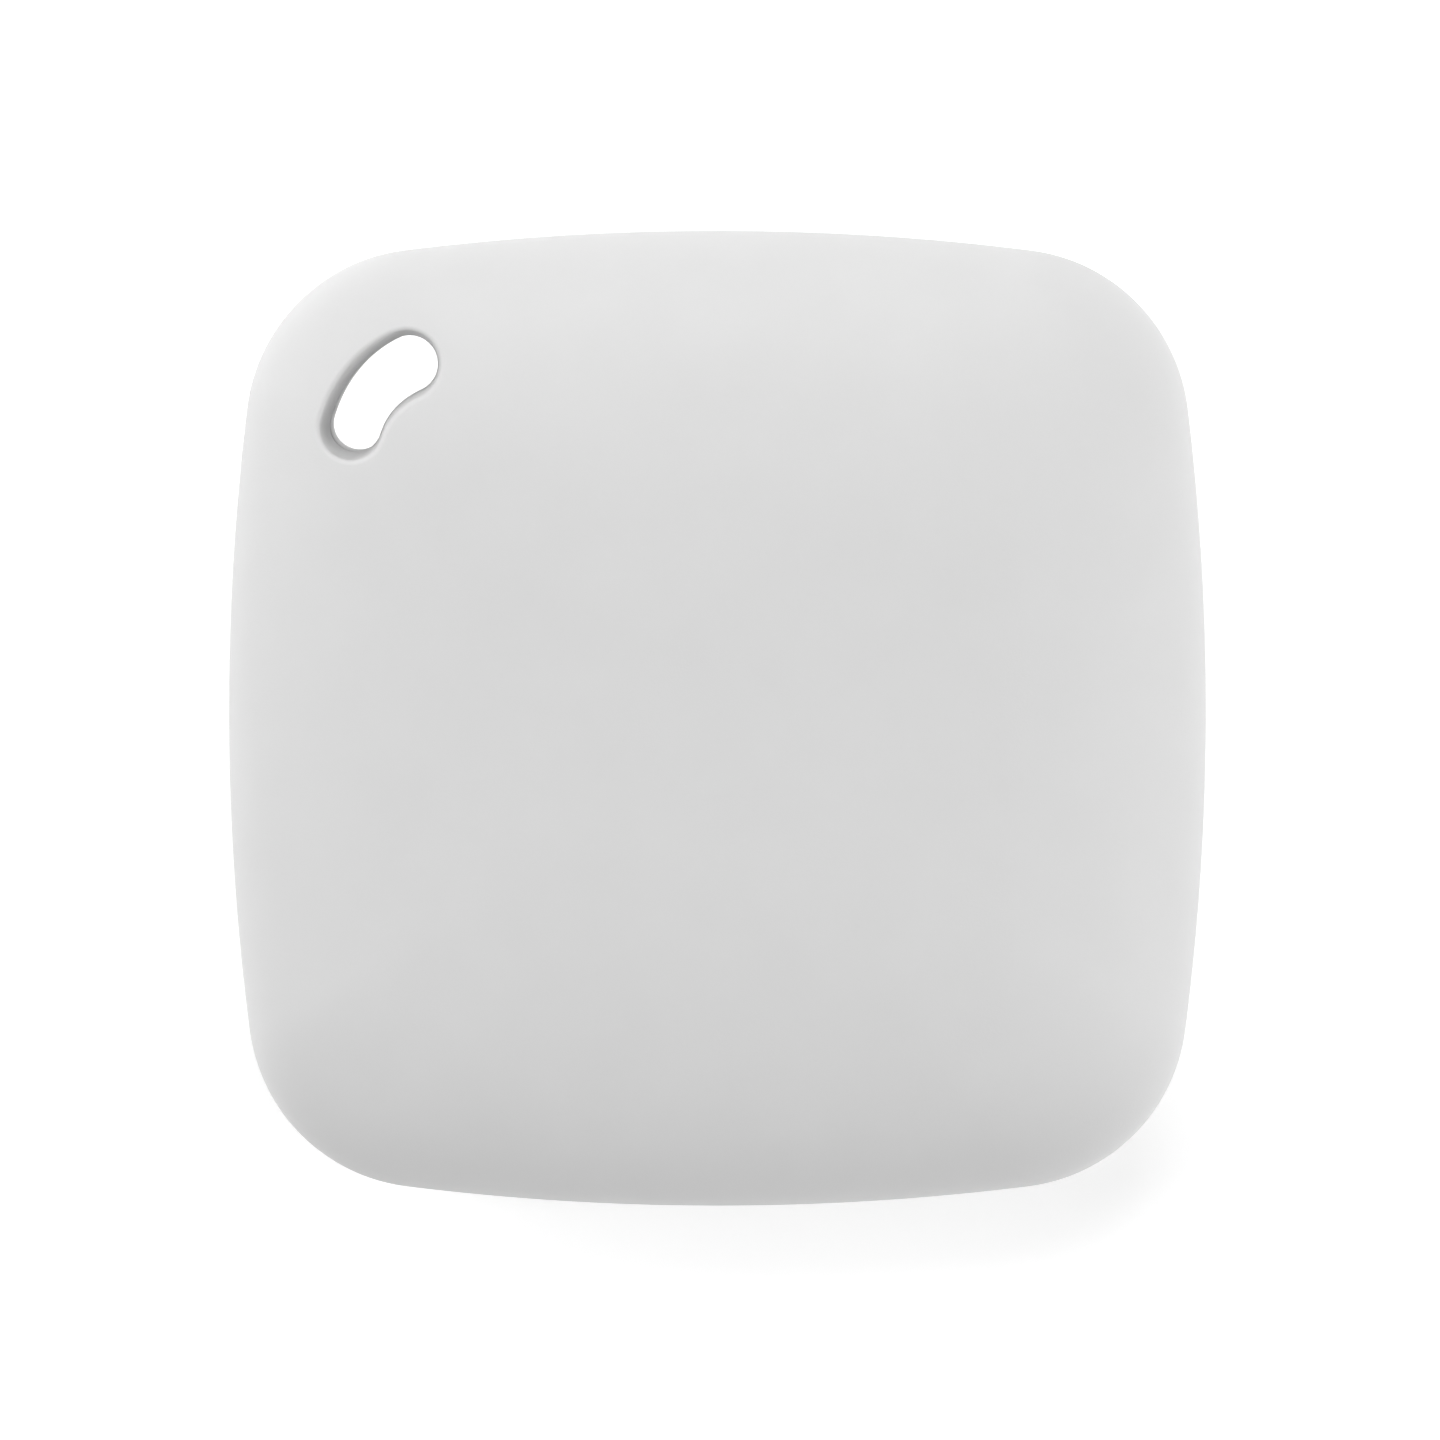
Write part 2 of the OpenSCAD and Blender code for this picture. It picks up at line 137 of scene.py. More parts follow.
def outline(inset=0.0, side_steps=SIDE_STEPS, corner_steps=CORNER_STEPS):
    """The case's outline, moved in by a distance: four bulged sides and four round corners."""
    side_turn = 2 * SIDE_ANGLE / side_steps
    corner_turn = (math.pi / 2 - 2 * SIDE_ANGLE) / corner_steps
    quarter = [on_circle(SIDE_C, 0, SIDE_R - inset, i * side_turn - SIDE_ANGLE) for i in range(side_steps)]
    quarter += [
        on_circle(CORNER_C, CORNER_C, CORNER_R - inset, SIDE_ANGLE + i * corner_turn)
        for i in range(corner_steps)
    ]
    points = []
    for _ in range(4):
        points += quarter
        quarter = [(-y, x) for x, y in quarter]
    return points


def reach(x, y, inset=0.0):
    """How far the outline lies from the centre, in the direction of a point."""
    distance = math.hypot(x, y)
    cosine = max(abs(x), abs(y)) / distance
    sine = min(abs(x), abs(y)) / distance
    side, corner = SIDE_R - inset, CORNER_R - inset
    join = math.atan2(side * math.sin(SIDE_ANGLE), SIDE_C + side * math.cos(SIDE_ANGLE))
    if math.atan2(sine, cosine) < join:
        return SIDE_C * cosine + math.sqrt(side**2 - (SIDE_C * sine) ** 2)
    return CORNER_C * (cosine + sine) + math.sqrt(corner**2 - (CORNER_C * (cosine - sine)) ** 2)


def dome_share(x, y, inset, power):
    """How high a dome stands over a point, as a share of its depth."""
    if math.hypot(x, y) < 1e-6:
        return 1.0
    outward = min(math.hypot(x, y) / reach(x, y, inset), 1.0)
    return math.sqrt(1 - outward**power)


def slot_half(share):
    """Half the slot's width, at a share of the way from its upper to its lower end."""
    return (SLOT_WIDE + (SLOT_NARROW - SLOT_WIDE) * share * share * (3 - 2 * share)) / 2


def slot_outline(grow=0.0):
    """The key slot's outline at the seam, grown by a distance."""
    start, end = SLOT_DIRECTION - SLOT_HALF_ANGLE, SLOT_DIRECTION + SLOT_HALF_ANGLE
    cx, cy = -SLOT_CENTRE, SLOT_CENTRE
    lower_end, upper_end = on_circle(cx, cy, SLOT_R, end), on_circle(cx, cy, SLOT_R, start)
    shares = [i / SLOT_STEPS for i in range(SLOT_STEPS)]
    turns = [math.pi * i / CAP_STEPS for i in range(CAP_STEPS)]
    points = [on_circle(cx, cy, SLOT_R + slot_half(t) + grow, start + (end - start) * t) for t in shares]
    points += [on_circle(*lower_end, slot_half(1) + grow, end + turn) for turn in turns]
    points += [on_circle(cx, cy, SLOT_R - slot_half(1 - t) - grow, end - (end - start) * t) for t in shares]
    points += [on_circle(*upper_end, slot_half(0) + grow, start + math.pi + turn) for turn in turns]
    return points


def slot_distance(x, y):
    """How far a point lies outside the slot's wall at the seam. It is negative inside the slot."""
    dx, dy = x + SLOT_CENTRE, y - SLOT_CENTRE
    turned = math.atan2(dy, dx) - SLOT_DIRECTION
    turned = math.atan2(math.sin(turned), math.cos(turned))
    nearest = max(-SLOT_HALF_ANGLE, min(SLOT_HALF_ANGLE, turned))
    end = on_circle(0, 0, SLOT_R, nearest + SLOT_DIRECTION)
    share = (nearest / SLOT_HALF_ANGLE + 1) / 2
    return math.hypot(dx - end[0], dy - end[1]) - slot_half(share)


def circle(x, y, radius, steps=96):
    return [on_circle(x, y, radius, 2 * math.pi * i / steps) for i in range(steps)]


# ---------------------------------------------------------------------------------------------
# Mesh helpers. Shapes are worked out in millimetres and stored in metres.
# ---------------------------------------------------------------------------------------------


def finished_piece(name, bm, material, body, replaced=(), crease=30):
    """Turns a bmesh in millimetres into a piece that rides on a body."""
    bmesh.ops.recalc_face_normals(bm, faces=bm.faces)
    bm.transform(Matrix.Scale(MM, 4))
    mesh = bpy.data.meshes.new(name)
    bm.to_mesh(mesh)
    bm.free()
    piece = bpy.data.objects.new(name, mesh)
    bpy.context.scene.collection.objects.link(piece)
    mesh.materials.append(material)
    smooth(piece, crease)
    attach(piece, body)
    if replaced:
        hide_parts(*replaced)
    return piece


def smooth(piece, crease=30):
    """Smooth shading, with creases kept where faces meet at more than an angle."""
    piece.data.shade_smooth()
    piece.data.set_sharp_from_angle(angle=math.radians(crease))


def band(bm, rows):
    """Joins closed rows of points, all with the same count, by rings of faces."""
    rings = [[bm.verts.new(p) for p in row] for row in rows]
    count = len(rings[0])
    for low, high in zip(rings, rings[1:]):
        for i in range(count):
            j = (i + 1) % count
            bm.faces.new((low[i], low[j], high[j], high[i]))
    return rings


def level(points, height):
    """Plan points lifted to a height, which is a number or a function of X and Y."""
    if callable(height):
        return [(x, y, height(x, y)) for x, y in points]
    return [(x, y, height) for x, y in points]


def terrain(bm, loops, lines, points, region_at, heights):
    """A floor of triangles whose regions stand at their own heights, with walls where they meet.

    loops and lines are the edges between regions, points are more places to put a corner,
    region_at names the region over a point, or gives None for a hole, and heights gives each
    region's height as a function of X and Y.
    """
    places, edges = [], []
    for loop in loops:
        first = len(places)
        places += loop
        edges += [(first + i, first + (i + 1) % len(loop)) for i in range(len(loop))]
    for line in lines:
        edges.append((len(places), len(places) + 1))
        places += line
    places += points
    found, _, triangles, *_ = delaunay_2d_cdt([Vector(p) for p in places], edges, [], 0, 1e-5, False)
    corners, borders = {}, {}

    def corner(index, region):
        if (index, region) not in corners:
            x, y = found[index]
            corners[index, region] = bm.verts.new((x, y, heights[region](x, y)))
        return corners[index, region]

    for triangle in triangles:
        centre = sum((found[i] for i in triangle), Vector((0, 0))) / 3
        region = region_at(*centre)
        if region is None:
            continue
        bm.faces.new([corner(i, region) for i in triangle])
        for a, b in zip(triangle, triangle[1:] + triangle[:1]):
            borders.setdefault((min(a, b), max(a, b)), []).append(region)
    for (a, b), regions in borders.items():
        if len(regions) == 2 and regions[0] != regions[1]:
            here, there = regions
            wall = [corner(a, here), corner(b, here), corner(b, there), corner(a, there)]
            bm.faces.new(wall)


def fillet(radius, steps=FILLET_STEPS):
    """How far in and how far along a rounded edge goes, from its first flat to its second."""
    turns = [math.pi / 2 * i / steps for i in range(steps + 1)]
    return [(radius * (1 - math.cos(t)), radius * (1 - math.sin(t))) for t in turns]


# ---------------------------------------------------------------------------------------------
# Materials
# ---------------------------------------------------------------------------------------------


def srgb(code):
    """A hex colour as linear red, green, blue and alpha."""
    channels = [int(code[i : i + 2], 16) / 255 for i in (1, 3, 5)]
    return [c / 12.92 if c <= 0.04045 else ((c + 0.055) / 1.055) ** 2.4 for c in channels] + [1.0]


def node(tree, kind, settings=None, links=None):
    """Adds a shader node, with values for its properties or sockets and links into its sockets."""
    made = tree.nodes.new(kind)
    for key, value in (settings or {}).items():
        if isinstance(key, str) and hasattr(made, key):
            setattr(made, key, value)
        else:
            made.inputs[key].default_value = value
    for key, source in (links or {}).items():
        tree.links.new(source, made.inputs[key])
    return made


def new_material(name):
    """An empty material, its tree, its surface shader and its place in millimetres."""
    material = bpy.data.materials.new(name)
    material.use_nodes = True
    tree = material.node_tree
    tree.nodes.clear()
    shader = node(tree, "ShaderNodeBsdfPrincipled")
    node(tree, "ShaderNodeOutputMaterial", links={"Surface": shader.outputs[0]})
    place = node(tree, "ShaderNodeTexCoord").outputs["Object"]
    scaled = node(tree, "ShaderNodeVectorMath", {"operation": "SCALE", "Scale": 1 / MM}, {0: place})
    return material, tree, shader, scaled.outputs[0]


def coat(tree, shader, colours, tint, relief, strength, depth, roughness=None):
    """Gives a surface its colour, its bumps and, where it varies, its roughness.

    tint mixes the two colours. relief sets the bumps, depth millimetres deep at full strength, and
    moves the roughness between its two values.
    """
    shades = {"data_type": "RGBA", 6: srgb(colours[0]), 7: srgb(colours[1])}
    mixed = node(tree, "ShaderNodeMix", shades, {0: tint})
    tree.links.new(mixed.outputs[2], shader.inputs["Base Color"])
    bump = node(tree, "ShaderNodeBump", {"Strength": strength, "Distance": depth * MM}, {"Height": relief})
    tree.links.new(bump.outputs[0], shader.inputs["Normal"])
    if roughness:
        ends = {"To Min": roughness[0], "To Max": roughness[1]}
        rough = node(tree, "ShaderNodeMapRange", ends, {"Value": relief})
        tree.links.new(rough.outputs[0], shader.inputs["Roughness"])


def grained(name, colour, shade, roughness, per_mm, depth, ior=1.5):
    """A moulded, pressed or fired surface: an even grain, and a slight cloudiness of its colour.

    per_mm is the grains to a millimetre. The roughness follows the grain.
    """
    material, tree, shader, place = new_material(name)
    finish = {"Scale": per_mm, "Detail": 2.0, "Roughness": 0.6}
    grain = node(tree, "ShaderNodeTexNoise", finish, {"Vector": place}).outputs[0]
    cloud = node(tree, "ShaderNodeTexNoise", {"Scale": 0.35, "Detail": 3.0}, {"Vector": place}).outputs[0]
    coat(tree, shader, (colour, shade), cloud, grain, 0.35, depth, (roughness * 0.9, roughness * 1.1))
    shader.inputs["IOR"].default_value = ior
    return material


# Injection-moulded ABS from a spark-eroded mould: a fine, even, matt orange peel that spreads every
# highlight wide. The real grain is about 0.03 mm. It is drawn at 0.1 mm, so that it shows.
cover_abs = grained("matt_white_moulded_abs", "#D6D6D6", "#D2D2D2", 0.56, 10.0, 0.012, 1.53)


# ---------------------------------------------------------------------------------------------
# Covers
# ---------------------------------------------------------------------------------------------

FRONT_DEPTH = CASE_H - FRONT_RIM
FRONT_INNER_DEPTH = CASE_H - SKIN - FRONT_RIM
REAR_DEPTH = REAR_RIM / REAR_FLAT


def front_skin(x, y):
    return FRONT_RIM + FRONT_DEPTH * dome_share(x, y, 0, FRONT_POWER)


def front_ceiling(x, y):
    return FRONT_RIM + FRONT_INNER_DEPTH * dome_share(x, y, WALL, FRONT_POWER)


def rear_skin(x, y):
    """The rear dome, cut flat where it stands on a table, with the cut's edge blended."""
    height = REAR_RIM - REAR_DEPTH * dome_share(x, y, 0, REAR_POWER)
    return (height + math.hypot(height, FLAT_BLEND)) / 2


def dome_angles(first, last):
    """Steps of a dome's angle, from its edge up."""
    count = max(1, round((last - first) / DOME_STEP))
    return [first + (last - first) * i / count for i in range(count + 1)]


def dome_rows(inset, power, height, angles):
    """Rings of points up a dome."""
    edge = outline(inset)
    rows = []
    for angle in angles:
        scale = math.cos(angle) ** (2 / power)
        rows.append(level([(x * scale, y * scale) for x, y in edge], height))
    return rows


def dome_points(inset, power, first, clear):
    """Corners for the triangles of a dome above an angle, kept clear of the slot."""
    points = []
    for angle in dome_angles(first, TOP_LIMIT)[1:]:
        scale = math.cos(angle) ** (2 / power)
        ring = outline(inset, max(3, round(SIDE_STEPS * scale)), max(3, round(CORNER_STEPS * scale)))
        points += [(x * scale, y * scale) for x, y in ring if slot_distance(x * scale, y * scale) > clear]
    return points + [(0.0, 0.0)]


def dome_with_slot(bm, inset, power, height, first, draft):
    """A dome's skin, from its first angle up, open where the slot's rounded mouth begins."""
    angles = dome_angles(first, OUTER_LIMIT)
    rows = dome_rows(inset, power, height, angles)
    band(bm, rows)
    limit = [(x, y) for x, y, _ in rows[-1]]
    mouth_grow = draft + SLOT_LIP_R
    points = dome_points(inset, power, OUTER_LIMIT, mouth_grow + CLEAR)
    terrain(
        bm,
        [limit, slot_outline(mouth_grow)],
        [],
        points,
        lambda x, y: None if slot_distance(x, y) < mouth_grow else "skin",
        {"skin": height},
    )


def slot_mouth(height, toward, draft):
    """Rows round the slot's rounded mouth, from the skin to the slot's wall."""
    rows = []
    for i in range(2 * FILLET_STEPS + 1):
        turn = math.pi / 2 * (1 - i / (2 * FILLET_STEPS))
        grow = SLOT_LIP_R * (1 - math.cos(turn))
        drop = SLOT_LIP_R * (1 - math.sin(turn))
        rows.append([(x, y, height(x, y) - toward * drop) for x, y in slot_outline(draft + grow)])
    return rows


HOOK_X = 16.2  # the inner face of each hook's arm, from the middle
HOOK_THICK = 0.85
HOOK_HALF_W = 2.0
HOOK_NOSE = 0.55  # how far the nose stands in from the arm
HOOK_TIP = 0.15  # how far the nose stands in at its tip
HOOK_RAMP = 0.45  # how high the tip's ramp is
HOOK_CATCH_Z = REAR_RIM - 0.03
HOOK_ROOT_Z = 7.2  # inside the front cover's skin


def hook_points():
    """The side view of one of the front cover's hooks, in X and Z."""
    tip = box_mm("front_cover")[0].z
    return [
        (HOOK_X + HOOK_THICK, HOOK_ROOT_Z),
        (HOOK_X + HOOK_THICK, tip),
        (HOOK_X - HOOK_TIP, tip),
        (HOOK_X - HOOK_NOSE, tip + HOOK_RAMP),
        (HOOK_X - HOOK_NOSE, HOOK_CATCH_Z),
        (HOOK_X, HOOK_CATCH_Z),
        (HOOK_X, HOOK_ROOT_Z),
    ]


def add_prism(bm, profile, half_width, turn):
    """A solid of one side view, in X and Z, standing across a side of the case."""
    spin = Matrix.Rotation(turn, 3, "Z")
    near = [bm.verts.new(spin @ Vector((x, -half_width, z))) for x, z in profile]
    far = [bm.verts.new(spin @ Vector((x, half_width, z))) for x, z in profile]
    count = len(profile)
    bm.faces.new(near)
    bm.faces.new(far[::-1])
    for i in range(count):
        j = (i + 1) % count
        bm.faces.new((near[j], near[i], far[i], far[j]))


LAND_W = 0.4  # the land round the slot at the seam
COLLAR_W = 0.9  # the land and the collar's step together
COLLAR_RISE = 0.8  # how far the step stands back from the seam
POST_R = 1.3  # the post over the switch's plunger
POST_GAP = 0.03
LEDGE_IN, LEDGE_OUT = 6.2, 7.6  # radii of the ring that the sounder is glued to


def build_front_cover():
    """The front cover: a domed shell with its slot collar, switch post, sounder ledge and hooks."""
    bm = bmesh.new()
    first = math.asin(EDGE_R / FRONT_DEPTH)
    dome_with_slot(bm, 0, FRONT_POWER, front_skin, first, SLOT_DRAFT)

    # the rim at the seam, from the outside in
    start = dome_rows(0, FRONT_POWER, front_skin, [first])[0]
    rows = [level([(x, y) for x, y, _ in start], FRONT_RIM + EDGE_R)]
    rows += [level(outline(inset), FRONT_RIM + up) for inset, up in fillet(EDGE_R)[1:]]
    inner_first = math.asin(THIN_EDGE_R / FRONT_INNER_DEPTH)
    rows += [level(outline(WALL - inset), FRONT_RIM + up) for inset, up in fillet(THIN_EDGE_R)[:0:-1]]
    inner = dome_rows(WALL, FRONT_POWER, front_ceiling, dome_angles(inner_first, CEILING_LIMIT))
    band(bm, rows + inner)

    # the slot's mouth and wall
    wall_rows = slot_mouth(front_skin, 1, SLOT_DRAFT)
    wall_rows.append(level(slot_outline(), FRONT_RIM + THIN_EDGE_R))
    wall_rows += [level(slot_outline(grow), FRONT_RIM + up) for grow, up in fillet(THIN_EDGE_R)[1:]]
    band(bm, wall_rows)

    # the underside
    sounder = middle("sounder_plate")
    switch = middle("switch_plunger")
    ledge_z = box_mm("sounder_adhesive")[1].z
    post_z = box_mm("switch_plunger")[1].z + POST_GAP

    def region(x, y):
        gap = slot_distance(x, y)
        if gap < COLLAR_W:
            return None if gap < THIN_EDGE_R else "land" if gap < LAND_W else "collar"
        if math.hypot(x - switch.x, y - switch.y) < POST_R:
            return "post"
        out = math.hypot(x - sounder.x, y - sounder.y)
        return "ledge" if LEDGE_IN < out < LEDGE_OUT else "ceiling"

    heights = {
        "land": lambda x, y: FRONT_RIM,
        "collar": lambda x, y: FRONT_RIM + COLLAR_RISE,
        "post": lambda x, y: post_z,
        "ledge": lambda x, y: ledge_z,
        "ceiling": front_ceiling,
    }
    terrain(
        bm,
        [
            [(x, y) for x, y, _ in inner[-1]],
            slot_outline(THIN_EDGE_R),
            slot_outline(LAND_W),
            slot_outline(COLLAR_W),
            circle(switch.x, switch.y, POST_R, 48),
            circle(sounder.x, sounder.y, LEDGE_IN),
            circle(sounder.x, sounder.y, LEDGE_OUT),
        ],
        [],
        dome_points(WALL, FRONT_POWER, CEILING_LIMIT, COLLAR_W + CLEAR),
        region,
        heights,
    )
    bmesh.ops.remove_doubles(bm, verts=bm.verts, dist=MERGE)
    for side in range(4):
        add_prism(bm, hook_points(), HOOK_HALF_W, side * math.pi / 2)
    finished_piece("front_cover_shell", bm, cover_abs, "front", ["front_cover"])


PRY_W = 8.0
PRY_H = 0.7
PRY_DEPTH = 0.9
PRY_ROUND = 0.7  # length over which each end of the pry notch runs out

BOWL_INSET = 2.4  # the seal's ledge ends here
BOWL_DEPTH = 1.9
BOWL_POWER = 5.0
SLOT_LAND_W = 0.5  # the land round the slot at the seam
SLOT_LIP_W = 0.9  # the land and the lip that stands in the front cover's collar
SLOT_LIP_RISE = 0.5  # how far the lip stands above the front cover's rim
SLOT_LEDGE_W = 2.05  # all that and the ledge that the seal lies on
TRAY_IN, TRAY_OUT = 10.25, 11.15  # radii of the ring round the cell
TRAY_H = 2.4  # the ring's height above the cell's foot
SILL_H = 0.4  # height of the windows' sills above the floor
WINDOWS = ((0.0, 2.6), (math.radians(225), 4.5))  # direction and half width of each window in the ring


def pry(x, y):
    """How deep the pry notch is at a point of the rim, from 0 to 1."""
    if y > 0:
        return 0.0
    run = min(1.0, max(0.0, (PRY_W / 2 - abs(x)) / PRY_ROUND))
    return run * run * (3 - 2 * run)


def build_rear_cover():
    """The rear cover: a shallow bowl with the seal's ledge, the cell's tray and the slot's collar."""
    bm = bmesh.new()
    first = math.asin(EDGE_R / REAR_DEPTH)

    def lowered(x, y):
        return min(rear_skin(x, y), REAR_RIM - EDGE_R - PRY_H * pry(x, y))

    dome_with_slot(bm, 0, REAR_POWER, lowered, first, 0)

    # the rim at the seam, with the pry notch in its outer part
    def rim(points, down):
        return [(x, y, REAR_RIM - down - PRY_H * pry(x, y)) for x, y in points]

    start = dome_rows(0, REAR_POWER, rear_skin, [first])[0]
    rows = [rim([(x, y) for x, y, _ in start], EDGE_R)]
    rows += [rim(outline(inset), down) for inset, down in fillet(EDGE_R)[1:]]
    rows.append(rim(outline(PRY_DEPTH - 0.02), 0))
    rows.append(level(outline(PRY_DEPTH), REAR_RIM))
    rows += [level(outline(WALL - inset), REAR_RIM - down) for inset, down in fillet(THIN_EDGE_R)[::-1]]
    ledge_z = box_mm("case_seal")[0].z
    rows.append(level(outline(WALL), ledge_z))
    band(bm, rows)

    # the slot's mouth and wall
    wall_rows = slot_mouth(rear_skin, -1, 0)
    wall_rows.append(level(slot_outline(), REAR_RIM - THIN_EDGE_R))
    wall_rows += [level(slot_outline(grow), REAR_RIM - down) for grow, down in fillet(THIN_EDGE_R)[1:]]
    band(bm, wall_rows)

    # the inside
    tray_top = box_mm("cell_can")[0].z + TRAY_H

    def in_window(x, y):
        for angle, half in WINDOWS:
            along = x * math.cos(angle) + y * math.sin(angle)
            across = y * math.cos(angle) - x * math.sin(angle)
            if along > 0 and abs(across) < half:
                return True
        return False

    def bowl(x, y):
        return max(ledge_z - BOWL_DEPTH * dome_share(x, y, BOWL_INSET, BOWL_POWER), SKIN)

    def region(x, y):
        gap = slot_distance(x, y)
        if gap < SLOT_LIP_W:
            return None if gap < THIN_EDGE_R else "land" if gap < SLOT_LAND_W else "lip"
        out = math.hypot(x, y)
        if TRAY_IN < out < TRAY_OUT:
            return "sill" if in_window(x, y) else "tray"
        if gap < SLOT_LEDGE_W or out > reach(x, y, BOWL_INSET):
            return "ledge"
        return "bowl"

    heights = {
        "land": lambda x, y: REAR_RIM,
        "lip": lambda x, y: FRONT_RIM + SLOT_LIP_RISE,
        "ledge": lambda x, y: ledge_z,
        "tray": lambda x, y: tray_top,
        "sill": lambda x, y: SKIN + SILL_H,
        "bowl": bowl,
    }
    lines = []
    for angle, half in WINDOWS:
        spin = Matrix.Rotation(angle, 2)
        for across in (-half, half):
            lines.append([tuple(spin @ Vector((along, across))) for along in (TRAY_IN - 1, TRAY_OUT + 1)])
    terrain(
        bm,
        [
            outline(WALL),
            outline(BOWL_INSET),
            slot_outline(THIN_EDGE_R),
            slot_outline(SLOT_LAND_W),
            slot_outline(SLOT_LIP_W),
            slot_outline(SLOT_LEDGE_W),
            circle(0, 0, TRAY_IN),
            circle(0, 0, TRAY_OUT),
        ],
        lines,
        dome_points(BOWL_INSET, BOWL_POWER, BOWL_LIMIT, SLOT_LEDGE_W + CLEAR),
        region,
        heights,
    )
    bmesh.ops.remove_doubles(bm, verts=bm.verts, dist=MERGE)
    add_snap_ribs(bm)
    finished_piece("rear_cover_shell", bm, cover_abs, "rear", ["rear_cover"])


RIB_OFFSET = 6.6  # from the middle of a side to the middle of each of its ribs
RIB_HALF_LENGTH = 2.0
RIB_REACH = 0.35
RIB_Z = 3.8
RIB_HALF_H = 0.15
RIB_STEPS = 12
RIB_ROOT = 0.2  # how far a rib's back is sunk into the wall


def add_snap_ribs(bm):
    """Eight rounded ribs on the rear cover's wall, two to a side, that snap into the mid frame."""
    radius = SIDE_R - WALL
    # a rib's section, from its sunk back over its nose: shares of the reach and of the half height
    section = [(0, 1), (0.1, 1), (0.8, 0.4), (1, 0)]
    section += [(out, -up) for out, up in section[2::-1]]
    for side in range(4):
        spin = Matrix.Rotation(side * math.pi / 2, 3, "Z")
        for centre in (-RIB_OFFSET / radius, RIB_OFFSET / radius):
            rings = []
            for i in range(RIB_STEPS + 1):
                share = 2 * i / RIB_STEPS - 1
                angle = centre + share * RIB_HALF_LENGTH / radius
                nose = RIB_REACH * math.sqrt(max(0.0, 1 - share**8))
                row = []
                for out, up in section:
                    inward = out * nose if out else -RIB_ROOT
                    x, y = on_circle(SIDE_C, 0, radius - inward, angle)
                    row.append(bm.verts.new(spin @ Vector((x, y, RIB_Z + up * RIB_HALF_H))))
                rings.append(row)
            for low_ring, high_ring in zip(rings, rings[1:]):
                for j in range(len(low_ring)):
                    k = (j + 1) % len(low_ring)
                    bm.faces.new((low_ring[j], low_ring[k], high_ring[k], high_ring[j]))
            bm.faces.new(rings[0])
            bm.faces.new(rings[-1][::-1])


build_front_cover()
build_rear_cover()


# ---------------------------------------------------------------------------------------------
# Finishes of the parts inside
# ---------------------------------------------------------------------------------------------


def worked_metal(name, colour, shade, roughness, grain, depth, spun=False):
    """A bare or plated metal, with the marks of rolling, drawing or turning.

    grain is the number of marks in a millimetre along X, Y and Z. Spun marks run round the Z axis
    instead, and then only the first number counts.
    """
    material, tree, shader, place = new_material(name)
    if spun:
        flat = node(tree, "ShaderNodeVectorMath", {"operation": "MULTIPLY", 1: (1, 1, 0)}, {0: place})
        out = node(tree, "ShaderNodeVectorMath", {"operation": "LENGTH"}, {0: flat.outputs[0]})
        place = node(tree, "ShaderNodeCombineXYZ", links={"X": out.outputs["Value"]}).outputs[0]
    lined = node(tree, "ShaderNodeVectorMath", {"operation": "MULTIPLY", 1: grain}, {0: place}).outputs[0]
    finish = {"Scale": 1.0, "Detail": 3.0, "Roughness": 0.55}
    marks = node(tree, "ShaderNodeTexNoise", finish, {"Vector": lined}).outputs[0]
    coat(tree, shader, (colour, shade), marks, marks, 0.5, depth, (roughness * 0.8, roughness * 1.25))
    shader.inputs["Metallic"].default_value = 1.0
    return material


def closed_cell_foam():
    """Soot-black polyethylene foam: pores about 0.3 mm across, bumped in, with painted shade in their hollows
    and a painted highlight on their rims, where they catch the light.
    """
    material, tree, shader, place = new_material("black_closed_cell_foam")
    pores_and_painted_light = node(tree, "ShaderNodeTexVoronoi", {"Scale": 3.2}, {"Vector": place}).outputs["Distance"]
    # painted shade and painted highlight: each pore's hollow is coloured darker and its rim lighter; the same
    # pattern also sets the pores' bumps
    coat(tree, shader, ("#141416", "#3A3A3D"), pores_and_painted_light, pores_and_painted_light, 0.9, 0.08)
    shader.inputs["Roughness"].default_value = 0.9
    return material


TRACK_PITCH = 0.6
TRACK_W = 0.22
COPPER = 0.035
ROUTE_CELLS = 0.22  # patches to a millimetre, each with its tracks in one direction
VIAS = 0.42  # vias to a millimetre
VIA_R = 0.19
BARE_SHARE = 0.55  # share of the places for vias that have none
PLAIN_SHARE = 0.3  # share of the patches that have no tracks
PLY = 0.1  # half the pitch of the laminate's layers


